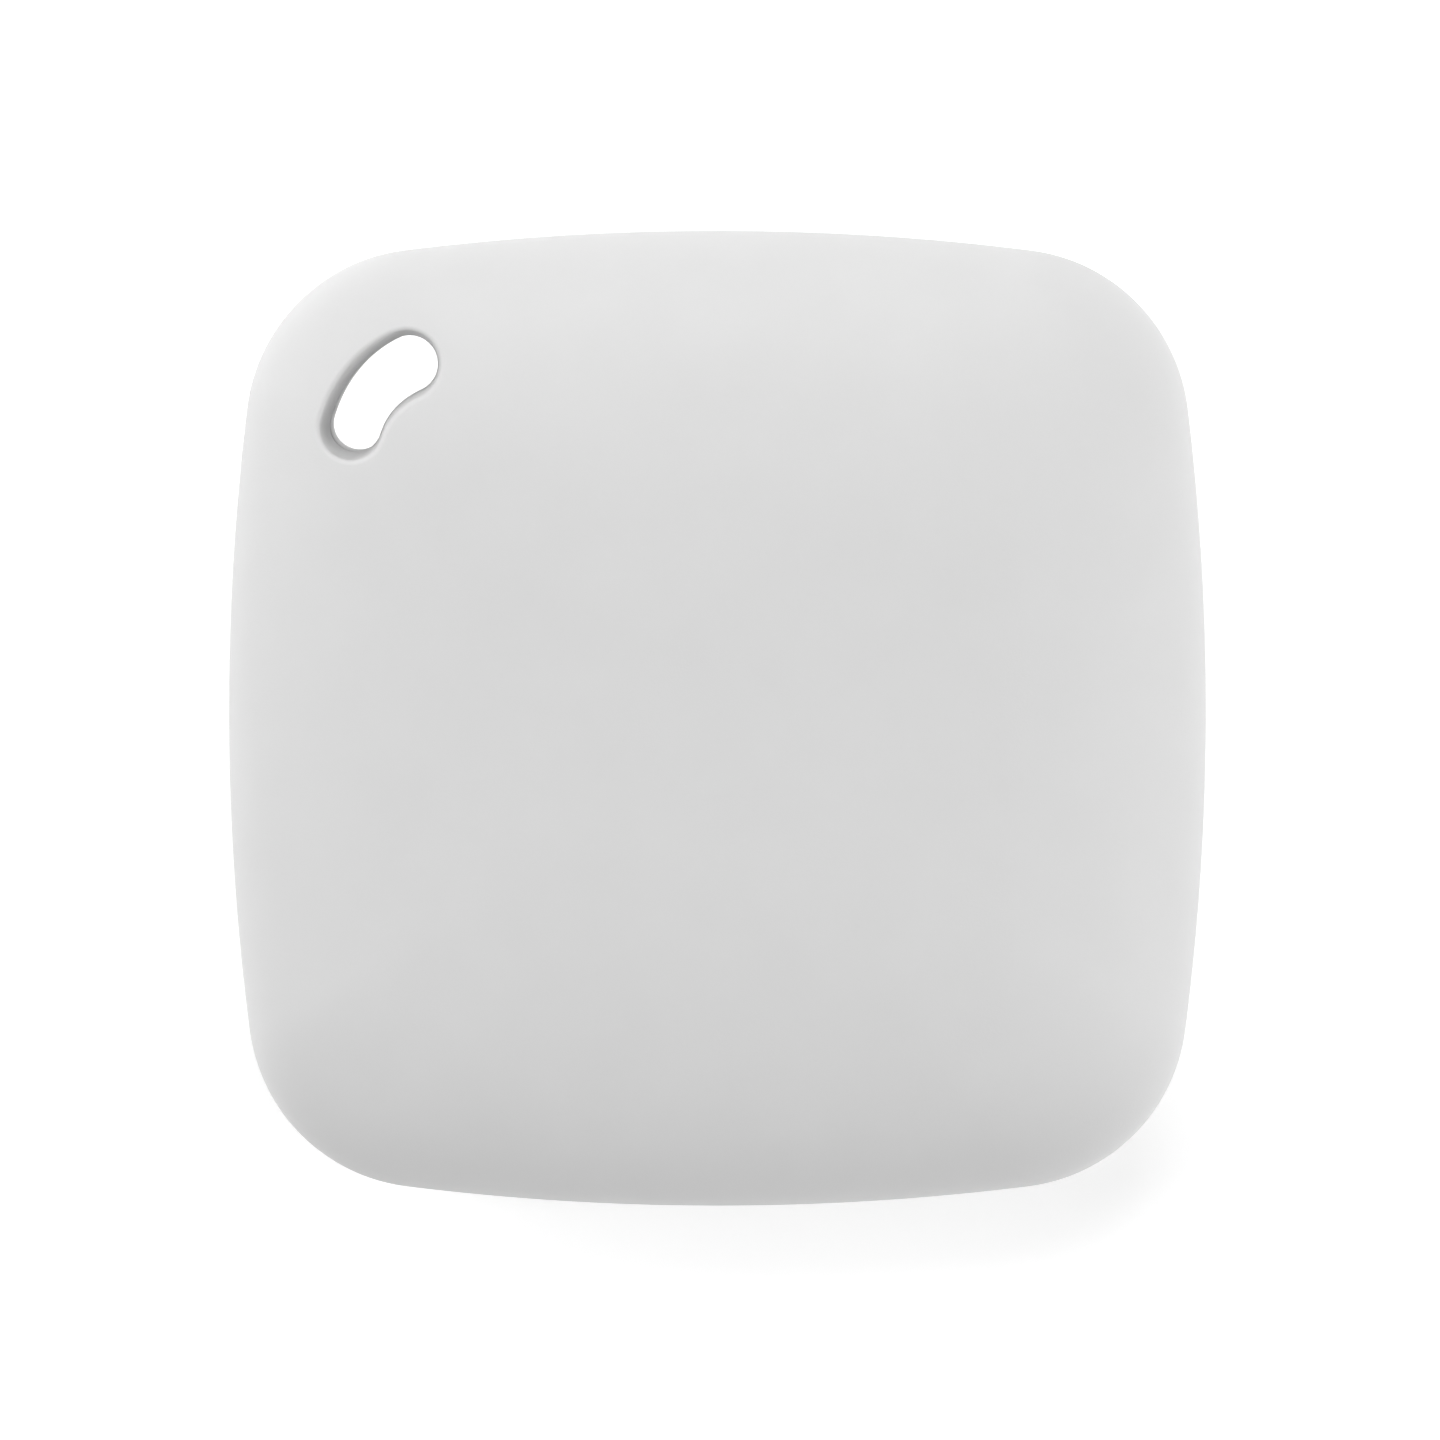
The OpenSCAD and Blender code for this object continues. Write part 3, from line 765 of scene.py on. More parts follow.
def masked_board():
    """Glass and epoxy laminate under green solder mask.

    Copper tracks show as lighter, raised lines and tinned vias as bright dots, and the routed edge
    shows the bare straw-coloured laminate in layers.
    """
    material, tree, shader, place = new_material("green_solder_mask_on_laminate")
    axes = node(tree, "ShaderNodeSeparateXYZ", links={0: place}).outputs
    patch = node(
        tree,
        "ShaderNodeTexVoronoi",
        {"voronoi_dimensions": "2D", "distance": "CHEBYCHEV", "Scale": ROUTE_CELLS},
        {"Vector": place},
    )
    kinds = node(tree, "ShaderNodeSeparateColor", links={0: patch.outputs["Color"]}).outputs
    along = node(tree, "ShaderNodeMath", {"operation": "GREATER_THAN", 1: 0.5}, {0: kinds[0]})
    across = node(tree, "ShaderNodeMix", links={0: along.outputs[0], 2: axes[0], 3: axes[1]})
    spacing = {"operation": "PINGPONG", 1: TRACK_PITCH / 2}
    wave = node(tree, "ShaderNodeMath", spacing, {0: across.outputs[0]})
    line = node(tree, "ShaderNodeMath", {"operation": "LESS_THAN", 1: TRACK_W / 2}, {0: wave.outputs[0]})
    routed = node(tree, "ShaderNodeMath", {"operation": "GREATER_THAN", 1: PLAIN_SHARE}, {0: kinds[1]})
    on_track = {0: line.outputs[0], 1: routed.outputs[0]}
    track = node(tree, "ShaderNodeMath", {"operation": "MULTIPLY"}, on_track)
    dots = node(tree, "ShaderNodeTexVoronoi", {"voronoi_dimensions": "2D", "Scale": VIAS}, {"Vector": place})
    spot = {"operation": "LESS_THAN", 1: VIA_R * VIAS}
    near = node(tree, "ShaderNodeMath", spot, {0: dots.outputs["Distance"]})
    chance = node(tree, "ShaderNodeSeparateColor", links={0: dots.outputs["Color"]}).outputs[0]
    drilled = node(tree, "ShaderNodeMath", {"operation": "GREATER_THAN", 1: BARE_SHARE}, {0: chance})
    via = node(tree, "ShaderNodeMath", {"operation": "MULTIPLY"}, {0: near.outputs[0], 1: drilled.outputs[0]})
    normal = node(tree, "ShaderNodeNewGeometry").outputs["Normal"]
    facing = node(tree, "ShaderNodeSeparateXYZ", links={0: normal})
    upright = node(tree, "ShaderNodeMath", {"operation": "ABSOLUTE"}, {0: facing.outputs[2]})
    edge = node(tree, "ShaderNodeMath", {"operation": "LESS_THAN", 1: 0.5}, {0: upright.outputs[0]})
    layers = node(tree, "ShaderNodeMath", {"operation": "PINGPONG", 1: PLY}, {0: axes[2]})
    layer = node(tree, "ShaderNodeMath", {"operation": "MULTIPLY", 1: 1 / PLY}, {0: layers.outputs[0]})

    def mixed(factor, low, high):
        links = {0: factor}
        settings = {"data_type": "RGBA"}
        for socket, value in ((6, low), (7, high)):
            if isinstance(value, str):
                settings[socket] = srgb(value)
            else:
                links[socket] = value
        return node(tree, "ShaderNodeMix", settings, links).outputs[2]

    mask = mixed(track.outputs[0], "#0C4327", "#1C6A3D")
    face = mixed(via.outputs[0], mask, "#C9C7BE")
    laminate = mixed(layer.outputs[0], "#8C8554", "#B3AB77")
    tree.links.new(mixed(edge.outputs[0], face, laminate), shader.inputs["Base Color"])
    bare = node(tree, "ShaderNodeMath", {"operation": "SUBTRACT"}, {0: via.outputs[0], 1: edge.outputs[0]})
    metal = node(tree, "ShaderNodeMath", {"operation": "MAXIMUM", 1: 0.0}, {0: bare.outputs[0]})
    tree.links.new(metal.outputs[0], shader.inputs["Metallic"])
    rough = node(tree, "ShaderNodeMapRange", {"To Min": 0.3, "To Max": 0.75}, {"Value": edge.outputs[0]})
    tree.links.new(rough.outputs[0], shader.inputs["Roughness"])
    raised = {"Strength": 0.6, "Distance": COPPER * MM}
    bump = node(tree, "ShaderNodeBump", raised, {"Height": track.outputs[0]})
    tree.links.new(bump.outputs[0], shader.inputs["Normal"])
    return material


# satin ABS, a little greyer than the covers and smoother, from a polished mould
frame_abs = grained("satin_grey_moulded_abs", "#BDBDBA", "#B4B4B1", 0.42, 8.0, 0.006)
# natural polypropylene: milky, waxy and slightly warm
gasket_pp = grained("natural_polypropylene", "#DAD8CB", "#CFCDBF", 0.38, 5.0, 0.01)
# silicone: mid grey, soft to the touch, no sharp highlight
seal_silicone = grained("grey_moulded_silicone", "#9B9DA0", "#8F9194", 0.68, 6.0, 0.015, 1.41)
# black nylon with a little glass in it: dull, with a dry grain
base_nylon = grained("black_glass_filled_nylon", "#161617", "#232324", 0.55, 9.0, 0.01)
# natural nylon: creamy white and slightly glossy
plunger_nylon = grained("natural_moulded_nylon", "#E3E0D4", "#D8D5C8", 0.36, 7.0, 0.005)
# moulding compound: near black, dead matt, from a blasted mould
chip_compound = grained("black_epoxy_moulding_compound", "#1B1B1D", "#2A2A2C", 0.62, 14.0, 0.012)
# white alumina-like ceramic of the antenna, fired and unglazed
antenna_ceramic = grained("white_fired_ceramic", "#E4E4DF", "#D3D3CD", 0.5, 9.0, 0.01, 1.65)
# pressed ferrite: dark slate, sintered, with a fine sparkle
ferrite = grained("pressed_ferrite", "#2B2B2E", "#404044", 0.58, 16.0, 0.02)
# capacitor ceramic: fired barium titanate, toffee brown
capacitor_ceramic = grained("brown_fired_ceramic", "#8A6742", "#765433", 0.45, 12.0, 0.01, 1.7)
# the glass coat on a chip resistor, black and glossy
resistor_glaze = grained("black_overglaze", "#131316", "#1E1E22", 0.22, 10.0, 0.006, 1.6)
# acrylic adhesive on a film: honey-tinted and waxy
adhesive_film = grained("acrylic_adhesive_film", "#E0DAB8", "#D2CBA6", 0.5, 4.0, 0.01)
# silver paste printed through a mesh on the sounder's ceramic: pale grey satin with a faint weave
sounder_silver = grained("screen_printed_silver", "#C9C9C4", "#B5B5B0", 0.4, 11.0, 0.008)
# pressed manganese dioxide and graphite: sooty black
cathode_powder = grained("pressed_manganese_dioxide", "#0F0F10", "#1C1C1D", 0.85, 13.0, 0.03)
# non-woven separator: soft white fibres
separator_film = grained("white_nonwoven_film", "#EFEFEA", "#DDDDD7", 0.8, 7.0, 0.03)

# drawn steel with nickel plate: bright and slightly yellow, with fine rings from the spinning
can_nickel = worked_metal(
    "nickel_plated_drawn_steel", "#CBC9C2", "#B7B5AE", 0.24, (7.0, 0.0, 0.0), 0.003, spun=True
)
# gold over nickel on phosphor bronze strip: warm, with rolling lines along the strip
contact_gold = worked_metal("gold_plated_spring_bronze", "#DDB963", "#C9A24C", 0.26, (1.5, 9.0, 9.0), 0.004)
# zinc-plated cold-headed steel: cool grey with a slight bloom
screw_zinc = worked_metal("zinc_plated_steel", "#A9ABAF", "#8D8F94", 0.36, (6.0, 6.0, 6.0), 0.006)
# deep-drawn crystal can with a matt nickel finish
crystal_nickel = worked_metal("matt_nickel_plated_can", "#C5C3BB", "#B3B1A9", 0.38, (10.0, 3.0, 10.0), 0.004)
# matt tin on the ends of the chips and the pads of solder
tinned = worked_metal("matt_tin", "#C8CACC", "#A9ABAE", 0.4, (12.0, 12.0, 12.0), 0.008)
# silver-plated stainless spring steel, rolled very smooth
spring_steel = worked_metal("silver_plated_spring_steel", "#D3D2CF", "#BDBCB9", 0.2, (2.0, 11.0, 6.0), 0.002)
# rolled brass sheet, lapped, with straight grain
sounder_brass = worked_metal("rolled_brass_sheet", "#D3AE5B", "#BE9646", 0.28, (1.2, 10.0, 4.0), 0.004)
# lithium foil: soft, dull, silvery grey
lithium = worked_metal("lithium_foil", "#A8ABAD", "#8F9295", 0.55, (5.0, 5.0, 5.0), 0.02)
foam = closed_cell_foam()
board_mask = masked_board()


# ---------------------------------------------------------------------------------------------
# Parts inside
# ---------------------------------------------------------------------------------------------


def finished_node(name, material, edge=0.04):
    """Gives a CAD node its finish and takes the sharpness off its edges."""
    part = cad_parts[name]
    for slot in part.material_slots:
        slot.material = material
    if not edge:
        return
    weld = part.modifiers.new("joined_corners", "WELD")
    weld.merge_threshold = 0.001 * MM
    flats = part.modifiers.new("whole_flats", "DECIMATE")
    flats.decimate_type = "DISSOLVE"
    flats.angle_limit = math.radians(0.5)
    bevel = part.modifiers.new("broken_edges", "BEVEL")
    bevel.width = edge * MM
    bevel.segments = 2
    bevel.limit_method = "ANGLE"
    bevel.angle_limit = math.radians(35)
    part.data.shade_smooth()
    even = part.modifiers.new("even_shading", "WEIGHTED_NORMAL")
    even.weight = 100


def islands(name):
    """The lowest and highest corners of each loose part of a CAD node, in millimetres."""
    bm = bmesh.new()
    bm.from_mesh(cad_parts[name].data)
    bmesh.ops.remove_doubles(bm, verts=bm.verts, dist=0.001 * MM)
    left, found = set(bm.verts), []
    while left:
        group, front = set(), [left.pop()]
        while front:
            vertex = front.pop()
            group.add(vertex)
            near = {edge.other_vert(vertex) for edge in vertex.link_edges} & left
            left -= near
            front += near
        low = Vector([min(v.co[i] for v in group) / MM for i in range(3)])
        high = Vector([max(v.co[i] for v in group) / MM for i in range(3)])
        found.append((low, high))
    bm.free()
    return sorted(found, key=lambda box: tuple(box[0]))


def rounded(profile, radius, closed=True, steps=4):
    """A chain of points in a plane with its corners rounded, as far as its legs allow."""
    count = len(profile)
    done = []
    for i, point in enumerate(profile):
        here = Vector(point)
        if not closed and i in (0, count - 1):
            done.append(here)
            continue
        before, after = Vector(profile[i - 1]) - here, Vector(profile[(i + 1) % count]) - here
        cut = min(radius, before.length * 0.45, after.length * 0.45)
        start, end = here + before.normalized() * cut, here + after.normalized() * cut
        for j in range(steps + 1):
            t = j / steps
            done.append(start * (1 - t) ** 2 + here * 2 * t * (1 - t) + end * t**2)
    return done


def turned(bm, profile, at=(0, 0), steps=96, closed=False):
    """Spins a profile of radius and height round an upright axis. A radius of 0 is a pole."""
    rows = []
    for radius, height in profile:
        if radius < 1e-6:
            rows.append([bm.verts.new((at[0], at[1], height))])
        else:
            rows.append([bm.verts.new((x, y, height)) for x, y in circle(at[0], at[1], radius, steps)])
    pairs = list(zip(rows, rows[1:])) + ([(rows[-1], rows[0])] if closed else [])
    for low, high in pairs:
        for i in range(steps):
            j = (i + 1) % steps
            corners = [low[i % len(low)], low[j % len(low)], high[j % len(high)], high[i % len(high)]]
            corners = [c for k, c in enumerate(corners) if c not in corners[:k]]
            if len(corners) > 2:
                bm.faces.new(corners)


def rounded_rectangle(low, high, radius, inset=0.0, steps=3):
    """A rectangle's outline with round corners, inset millimetres inside the box low to high."""
    x, y = (low[0] + high[0]) / 2, (low[1] + high[1]) / 2
    half_x, half_y = (high[0] - low[0]) / 2 - radius, (high[1] - low[1]) / 2 - radius
    points = []
    for quarter, (side_x, side_y) in enumerate(((1, 1), (-1, 1), (-1, -1), (1, -1))):
        for i in range(steps + 1):
            angle = math.pi / 2 * (quarter + i / steps)
            points.append(on_circle(x + side_x * half_x, y + side_y * half_y, radius - inset, angle))
    return points


def block(bm, low, high, edge, corner=None):
    """A box with its edges rounded by one radius and its upright corners by another."""
    corner = max(corner or 0, edge * 1.01)
    rounding = fillet(edge, 2)
    rows = [level(rounded_rectangle(low, high, corner, inset), low[2] + up) for inset, up in rounding[::-1]]
    rows += [level(rounded_rectangle(low, high, corner, inset), high[2] - down) for inset, down in rounding]
    rings = band(bm, rows)
    bm.faces.new(rings[0][::-1])
    bm.faces.new(rings[-1])


def strip(bm, path, thickness, half_width, across=0.0, turn=0.0):
    """A bent strip of sheet metal. path is in X and Z, half_width is a function of the share along it."""
    spin = Matrix.Rotation(turn, 3, "Z")
    edge = thickness * 0.2
    rows = []
    for i, point in enumerate(path):
        along = (path[min(i + 1, len(path) - 1)] - path[max(i - 1, 0)]).normalized()
        normal = Vector((-along.y, along.x))
        wide = half_width(i / (len(path) - 1))
        section = rounded_rectangle((-wide, -thickness / 2), (wide, thickness / 2), edge, 0, 2)
        places = [(point.x + normal.x * up, y + across, point.y + normal.y * up) for y, up in section]
        rows.append([spin @ Vector(place) for place in places])
    rings = band(bm, rows)
    bm.faces.new(rings[0][::-1])
    bm.faces.new(rings[-1])


def build_cell():
    """The CR2032 cell: a drawn can, a moulded gasket and a pressed cap, all spun to shape."""
    base = box_mm("cell_can")[0].z
    can = [(0, 0), (9.7, 0), (10, 0.3), (10, 2.62), (9.82, 2.88), (9.3, 2.95), (9.3, 2.75), (9.72, 2.5)]
    can += [(9.72, 0.4), (9.5, 0.25), (0, 0.25)]
    gasket = [(8.62, 2.98), (9.28, 2.98), (9.28, 2.74), (9.7, 2.5), (9.7, 0.9), (8, 0.9), (8, 1.18)]
    gasket.append((8.62, 1.18))
    cap = [(0, 3.2), (7.55, 3.2), (8.1, 3.17), (8.6, 2.95), (8.6, 1.2), (8.35, 1.2), (8.35, 2.8), (8.1, 2.95)]
    cap.append((0, 2.95))
    for name, profile, material, closed in (
        ("cell_can", can, can_nickel, False),
        ("cell_gasket", gasket, gasket_pp, True),
        ("cell_cap", cap, can_nickel, False),
    ):
        bm = bmesh.new()
        lifted = [(radius, height + base) for radius, height in profile]
        turned(bm, rounded(lifted, 0.16 if closed else 0.3, closed), closed=closed)
        finished_piece(f"{name}_spun", bm, material, "cell", [name], crease=40)
    finished_node("cell_cathode", cathode_powder, 0.1)
    finished_node("cell_separator", separator_film, 0.03)
    finished_node("cell_anode", lithium, 0.1)


def build_contacts():
    """Two gold leaf contacts, cut and bent from strip: arms that rest on the cap and fingers on the can."""
    board = box_mm("circuit_board")[0].z
    thickness = 0.2
    z = board - thickness / 2
    touch = box_mm("negative_contact")[0].z + thickness / 2
    arm = rounded([(1.6, z), (3.2, z - 0.01), (6.1, touch), (7.1, touch + 0.22)], 0.7, closed=False, steps=6)
    bm = bmesh.new()
    # each foot is a touch thicker than its strips, so that their ends are hidden in it
    foot_z = board - thickness - 0.01
    block(bm, (-2.5, -2, foot_z), (2.5, 2, board), 0.03, 0.5)
    for turn in (0, math.pi):
        strip(bm, arm, thickness, lambda share: 1.2 - 0.35 * share, turn=turn)
    finished_piece("negative_leaf", bm, contact_gold, "core", ["negative_contact"], crease=40)

    lowest, highest = box_mm("positive_contact")
    touch = lowest.x + thickness / 2
    bends = [(12.4, z), (11.45, z), (11.15, z - 0.5), (11.05, 4.2), (touch, 3.1), (10.72, 2.36)]
    finger = rounded(bends, 0.5, closed=False, steps=5)
    bm = bmesh.new()
    block(bm, (11.9, -2, foot_z), (highest.x, 2, board), 0.03, 0.3)
    for across in (-1.08, 1.08):
        strip(bm, finger, thickness, lambda share: 0.9 - 0.2 * share, across)
    finished_piece("positive_leaf", bm, contact_gold, "core", ["positive_contact"], crease=40)


CHIP_CAP = 0.22  # length of each tinned end, as a share of the chip
CHIP_CAP_COVER = 0.6  # share of an end that has no body under it
SOLDER_OUT = 0.18
SOLDER_H = 0.07


def build_chips():
    """Ceramic chips with tinned ends, each standing in solder on its two pads."""
    for name, material, slot_name in (
        ("chip_capacitors", capacitor_ceramic, "capacitor_ceramic"),
        ("chip_resistors", resistor_glaze, "resistor_body"),
    ):
        bodies, ends, pads = bmesh.new(), bmesh.new(), bmesh.new()
        for low, high in islands(name):
            size = high - low
            long_axis = 0 if size.x > size.y else 1
            cap = CHIP_CAP * size[long_axis]
            shrink = Vector((0.01, 0.01, 0.02))
            shrink[long_axis] = cap * CHIP_CAP_COVER
            block(bodies, low + shrink, high - shrink, 0.03)
            for side in (0, 1):
                end_low, end_high = low.copy(), high.copy()
                end_low.z += 0.01
                pad_low, pad_high = low.copy(), high.copy()
                if side:
                    end_low[long_axis] = high[long_axis] - cap
                    pad_low[long_axis] = high[long_axis] - cap
                    pad_high[long_axis] += SOLDER_OUT
                else:
                    end_high[long_axis] = low[long_axis] + cap
                    pad_high[long_axis] = low[long_axis] + cap
                    pad_low[long_axis] -= SOLDER_OUT
                block(ends, end_low, end_high, 0.05)
                pad_high.z = low.z + SOLDER_H
                block(pads, pad_low, pad_high, 0.03, 0.08)
        finished_piece(f"{name}_bodies", bodies, material, "core", [name])
        finished_piece(f"{name}_ends", ends, tinned, "core")
        finished_piece(f"{name}_solder", pads, tinned, "core")


DOT_IN = 0.2  # from the chip's corner to the middle of its dot, as a share of the sides
DOT_R = 0.05  # the dot's radius, as a share of the chip's side
DOT_RISE = 0.004
DOT_ROOT = 0.02  # how far the dot's foot is sunk into the chip
LID_IN = 0.18  # how far a crystal's lid stands in from the sides of its can
LID_FOOT = 0.3  # height of the lid's foot above the can's
LID_RISE = 0.05
END_W = 0.55  # width of the tinned ends of the antenna and the inductor
PLATE = 0.02  # thickness of their tin
LEAD_MARGIN = 0.25  # from a package's corner to the middle of its first lead
LEAD_SHARE = 0.54  # a lead's width as a share of the pitch
LEAD_EDGE_R = 0.02
LEAD_IN = 0.12
LEAD_PARTS = ((0.02, 0.22), (0.12, 0.05))  # how far out and how tall the plated wall and the foot are


def add_leads(bm, low, high, axis, count):
    """A leadless package's leads along its two sides that run with an axis: plated walls and feet."""
    pitch = (high[axis] - low[axis] - 2 * LEAD_MARGIN) / (count - 1)
    for i in range(count):
        along = low[axis] + LEAD_MARGIN + i * pitch
        for side, edge in ((-1, low[1 - axis]), (1, high[1 - axis])):
            for out, tall in LEAD_PARTS:
                near, far = sorted((edge + side * out, edge - side * LEAD_IN))
                start, end = Vector((0, 0, low.z)), Vector((0, 0, low.z + tall))
                start[axis], end[axis] = along - LEAD_SHARE * pitch / 2, along + LEAD_SHARE * pitch / 2
                start[1 - axis], end[1 - axis] = near, far
                block(bm, start, end, LEAD_EDGE_R)


def build_packages():
    """Chips with tinned leads round the foot and a dot by the first, and parts with lids or tinned ends."""
    for name, per_side in (("bluetooth_chip", 12), ("sounder_driver", 4)):
        finished_node(name, chip_compound, 0.05)
        low, high = box_mm(name)
        leads = bmesh.new()
        for axis in (0, 1):
            add_leads(leads, low, high, axis, per_side)
        finished_piece(f"{name}_leads", leads, tinned, "core")
        mark = bmesh.new()
        dot = (low.x + DOT_IN * (high.x - low.x), high.y - DOT_IN * (high.y - low.y))
        radius = DOT_R * (high.x - low.x)
        top, foot = high.z + DOT_RISE, high.z - DOT_ROOT
        turned(mark, [(0, top), (radius, top), (radius, foot)], dot, 32)
        finished_piece(f"{name}_first_lead_dot", mark, tinned, "core")
    for name in ("main_crystal", "clock_crystal"):
        finished_node(name, crystal_nickel, 0.06)
        low, high = box_mm(name)
        lid = bmesh.new()
        foot = low + Vector((LID_IN, LID_IN, LID_FOOT))
        top = high + Vector((-LID_IN, -LID_IN, LID_RISE))
        block(lid, foot, top, 0.04, 0.2)
        finished_piece(f"{name}_lid", lid, crystal_nickel, "core")
    for name, material in (("chip_antenna", antenna_ceramic), ("boost_inductor", ferrite)):
        finished_node(name, material, 0.06)
        low, high = box_mm(name)
        ends = bmesh.new()
        for near, far in ((low.x - PLATE, low.x + END_W), (high.x - END_W, high.x + PLATE)):
            block(ends, (near, low.y - PLATE, low.z), (far, high.y + PLATE, high.z + PLATE), 0.05)
        finished_piece(f"{name}_ends", ends, tinned, "core")


COIL_TURNS = 5
COIL_END = 0.16  # share of the turns, at each end, that lie almost flat
COIL_END_RISE = 0.1  # share of the height that is even over all turns
COIL_STEPS = 28
WIRE_SIDES = 12
WIRE_R = 0.11


def build_sounder():
    """The sounder's disc, and the two coil springs that reach up to it from the board."""
    finished_node("sounder_plate", sounder_brass, 0.05)
    finished_node("sounder_ceramic", sounder_silver, 0.03)
    finished_node("sounder_adhesive", adhesive_film, 0.02)
    bm = bmesh.new()
    for low, high in islands("sounder_springs"):
        centre = (low + high) / 2
        coil_r = (high.x - low.x) / 2 - WIRE_R
        start, end = low.z + WIRE_R, high.z - WIRE_R
        count = COIL_TURNS * COIL_STEPS
        rows = []
        for i in range(count + 1):
            share = i / count
            # the turns at each end lie flat and close together
            eased = min(1.0, max(0.0, (share - COIL_END) / (1 - 2 * COIL_END)))
            rise = start + (COIL_END_RISE * share + (1 - COIL_END_RISE) * eased) * (end - start)
            angle = 2 * math.pi * i / COIL_STEPS
            row = []
            for k in range(WIRE_SIDES):
                tilt = 2 * math.pi * k / WIRE_SIDES
                x, y = on_circle(centre.x, centre.y, coil_r + WIRE_R * math.cos(tilt), angle)
                row.append((x, y, rise + WIRE_R * math.sin(tilt)))
            rows.append(row)
        rings = band(bm, rows)
        bm.faces.new(rings[0][::-1])
        bm.faces.new(rings[-1])
    coils = finished_piece("sounder_coils", bm, contact_gold, "core", ["sounder_springs"], 60)
    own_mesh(coils)


def build_switch():
    """The tactile switch: a moulded base, a snap dome, a steel frame and a nylon plunger."""
    finished_node("switch_base", base_nylon, 0.06)
    finished_node("switch_terminals", spring_steel, 0.03)
    finished_node("switch_frame", spring_steel, 0.03)
    low, high = box_mm("switch_dome")
    at = ((low.x + high.x) / 2, (low.y + high.y) / 2)
    radius, thickness = (high.x - low.x) / 2, 0.07
    rise = high.z - low.z - thickness
    shares = [i / 16 for i in range(17)]
    upper = [(radius * s, low.z + thickness + rise * (1 - s * s)) for s in shares]
    lower = [(radius * s, low.z + rise * (1 - s * s)) for s in shares[::-1]]
    bm = bmesh.new()
    turned(bm, upper + lower, at, 64)
    dome = finished_piece("snap_dome", bm, spring_steel, "core", ["switch_dome"])
    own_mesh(dome)

    low, high = box_mm("switch_plunger")
    bore_top = box_mm("switch_frame")[0].z - 0.01
    profile = [(0, low.z), (0.5, low.z), (0.5, low.z + 0.05), (1.7, low.z + 0.05), (1.7, bore_top)]
    profile += [(1.25, bore_top), (1.25, high.z), (0, high.z)]
    bm = bmesh.new()
    turned(bm, rounded(profile, 0.08, closed=False), at, 64)
    finished_piece("plunger_button", bm, plunger_nylon, "plunger", ["switch_plunger"], 40)


def build_test_pads():
    """Gold pads under the board, which the factory's probes touch, inside the frame's round opening."""
    bm = bmesh.new()
    bottom = box_mm("circuit_board")[0].z
    for y, places in ((8.3, (-3.6, -1.2, 1.2, 3.6)), (-8.3, (-2.4, 0, 2.4))):
        for x in places:
            turned(bm, [(0, bottom - 0.035), (0.65, bottom - 0.035), (0.7, bottom), (0, bottom)], (x, y), 40)
    finished_piece("test_pads", bm, contact_gold, "core")


build_cell()
build_contacts()
build_chips()
build_packages()
build_sounder()
build_switch()
build_test_pads()
finished_node("cell_pad", foam, 0.08)
finished_node("case_seal", seal_silicone, 0.1)
finished_node("mid_frame", frame_abs, 0.08)
finished_node("circuit_board", board_mask, 0.0)
finished_node("board_screws", screw_zinc, 0.04)

# ---------------------------------------------------------------------------------------------
# Camera, floor and light
# ---------------------------------------------------------------------------------------------

VIEW_W = 57.5  # width of the view across the case's widest level
CAMERA_AWAY = 300.0
CAMERA_TILT = math.radians(3.7)  # the camera leans towards +Y
WIDEST_Z = 4.7


def add_camera():
    data = bpy.data.cameras.new("camera")
    data.sensor_width = 36.0
    data.lens = data.sensor_width * CAMERA_AWAY / VIEW_W
    data.clip_start = 10 * MM
    data.clip_end = 10.0
    camera = bpy.data.objects.new("camera", data)
    bpy.context.scene.collection.objects.link(camera)
    camera.rotation_euler = (-CAMERA_TILT, 0, 0)
    away = Vector((0.1, math.sin(CAMERA_TILT) * CAMERA_AWAY, WIDEST_Z + math.cos(CAMERA_TILT) * CAMERA_AWAY))
    camera.location = away * MM
    bpy.context.scene.camera = camera


FLOOR_W = 3000.0
FLOOR_GAP = 0.02  # the flat rear rests on the tops of the sheet's own grain
FLOOR_GLOW = 0.31  # near the tag
FAR_GLOW = 0.7  # beyond the softboxes, which light the sheet no more there
GLOW_RISE = (90.0, 480.0)  # distances from the tag between which the glow rises
LAMP_GLOW = 0.9
LAMP_HALF_W = 1.1
LAMP_HALF_L = 2.85
LAMP_BLEND = 0.45


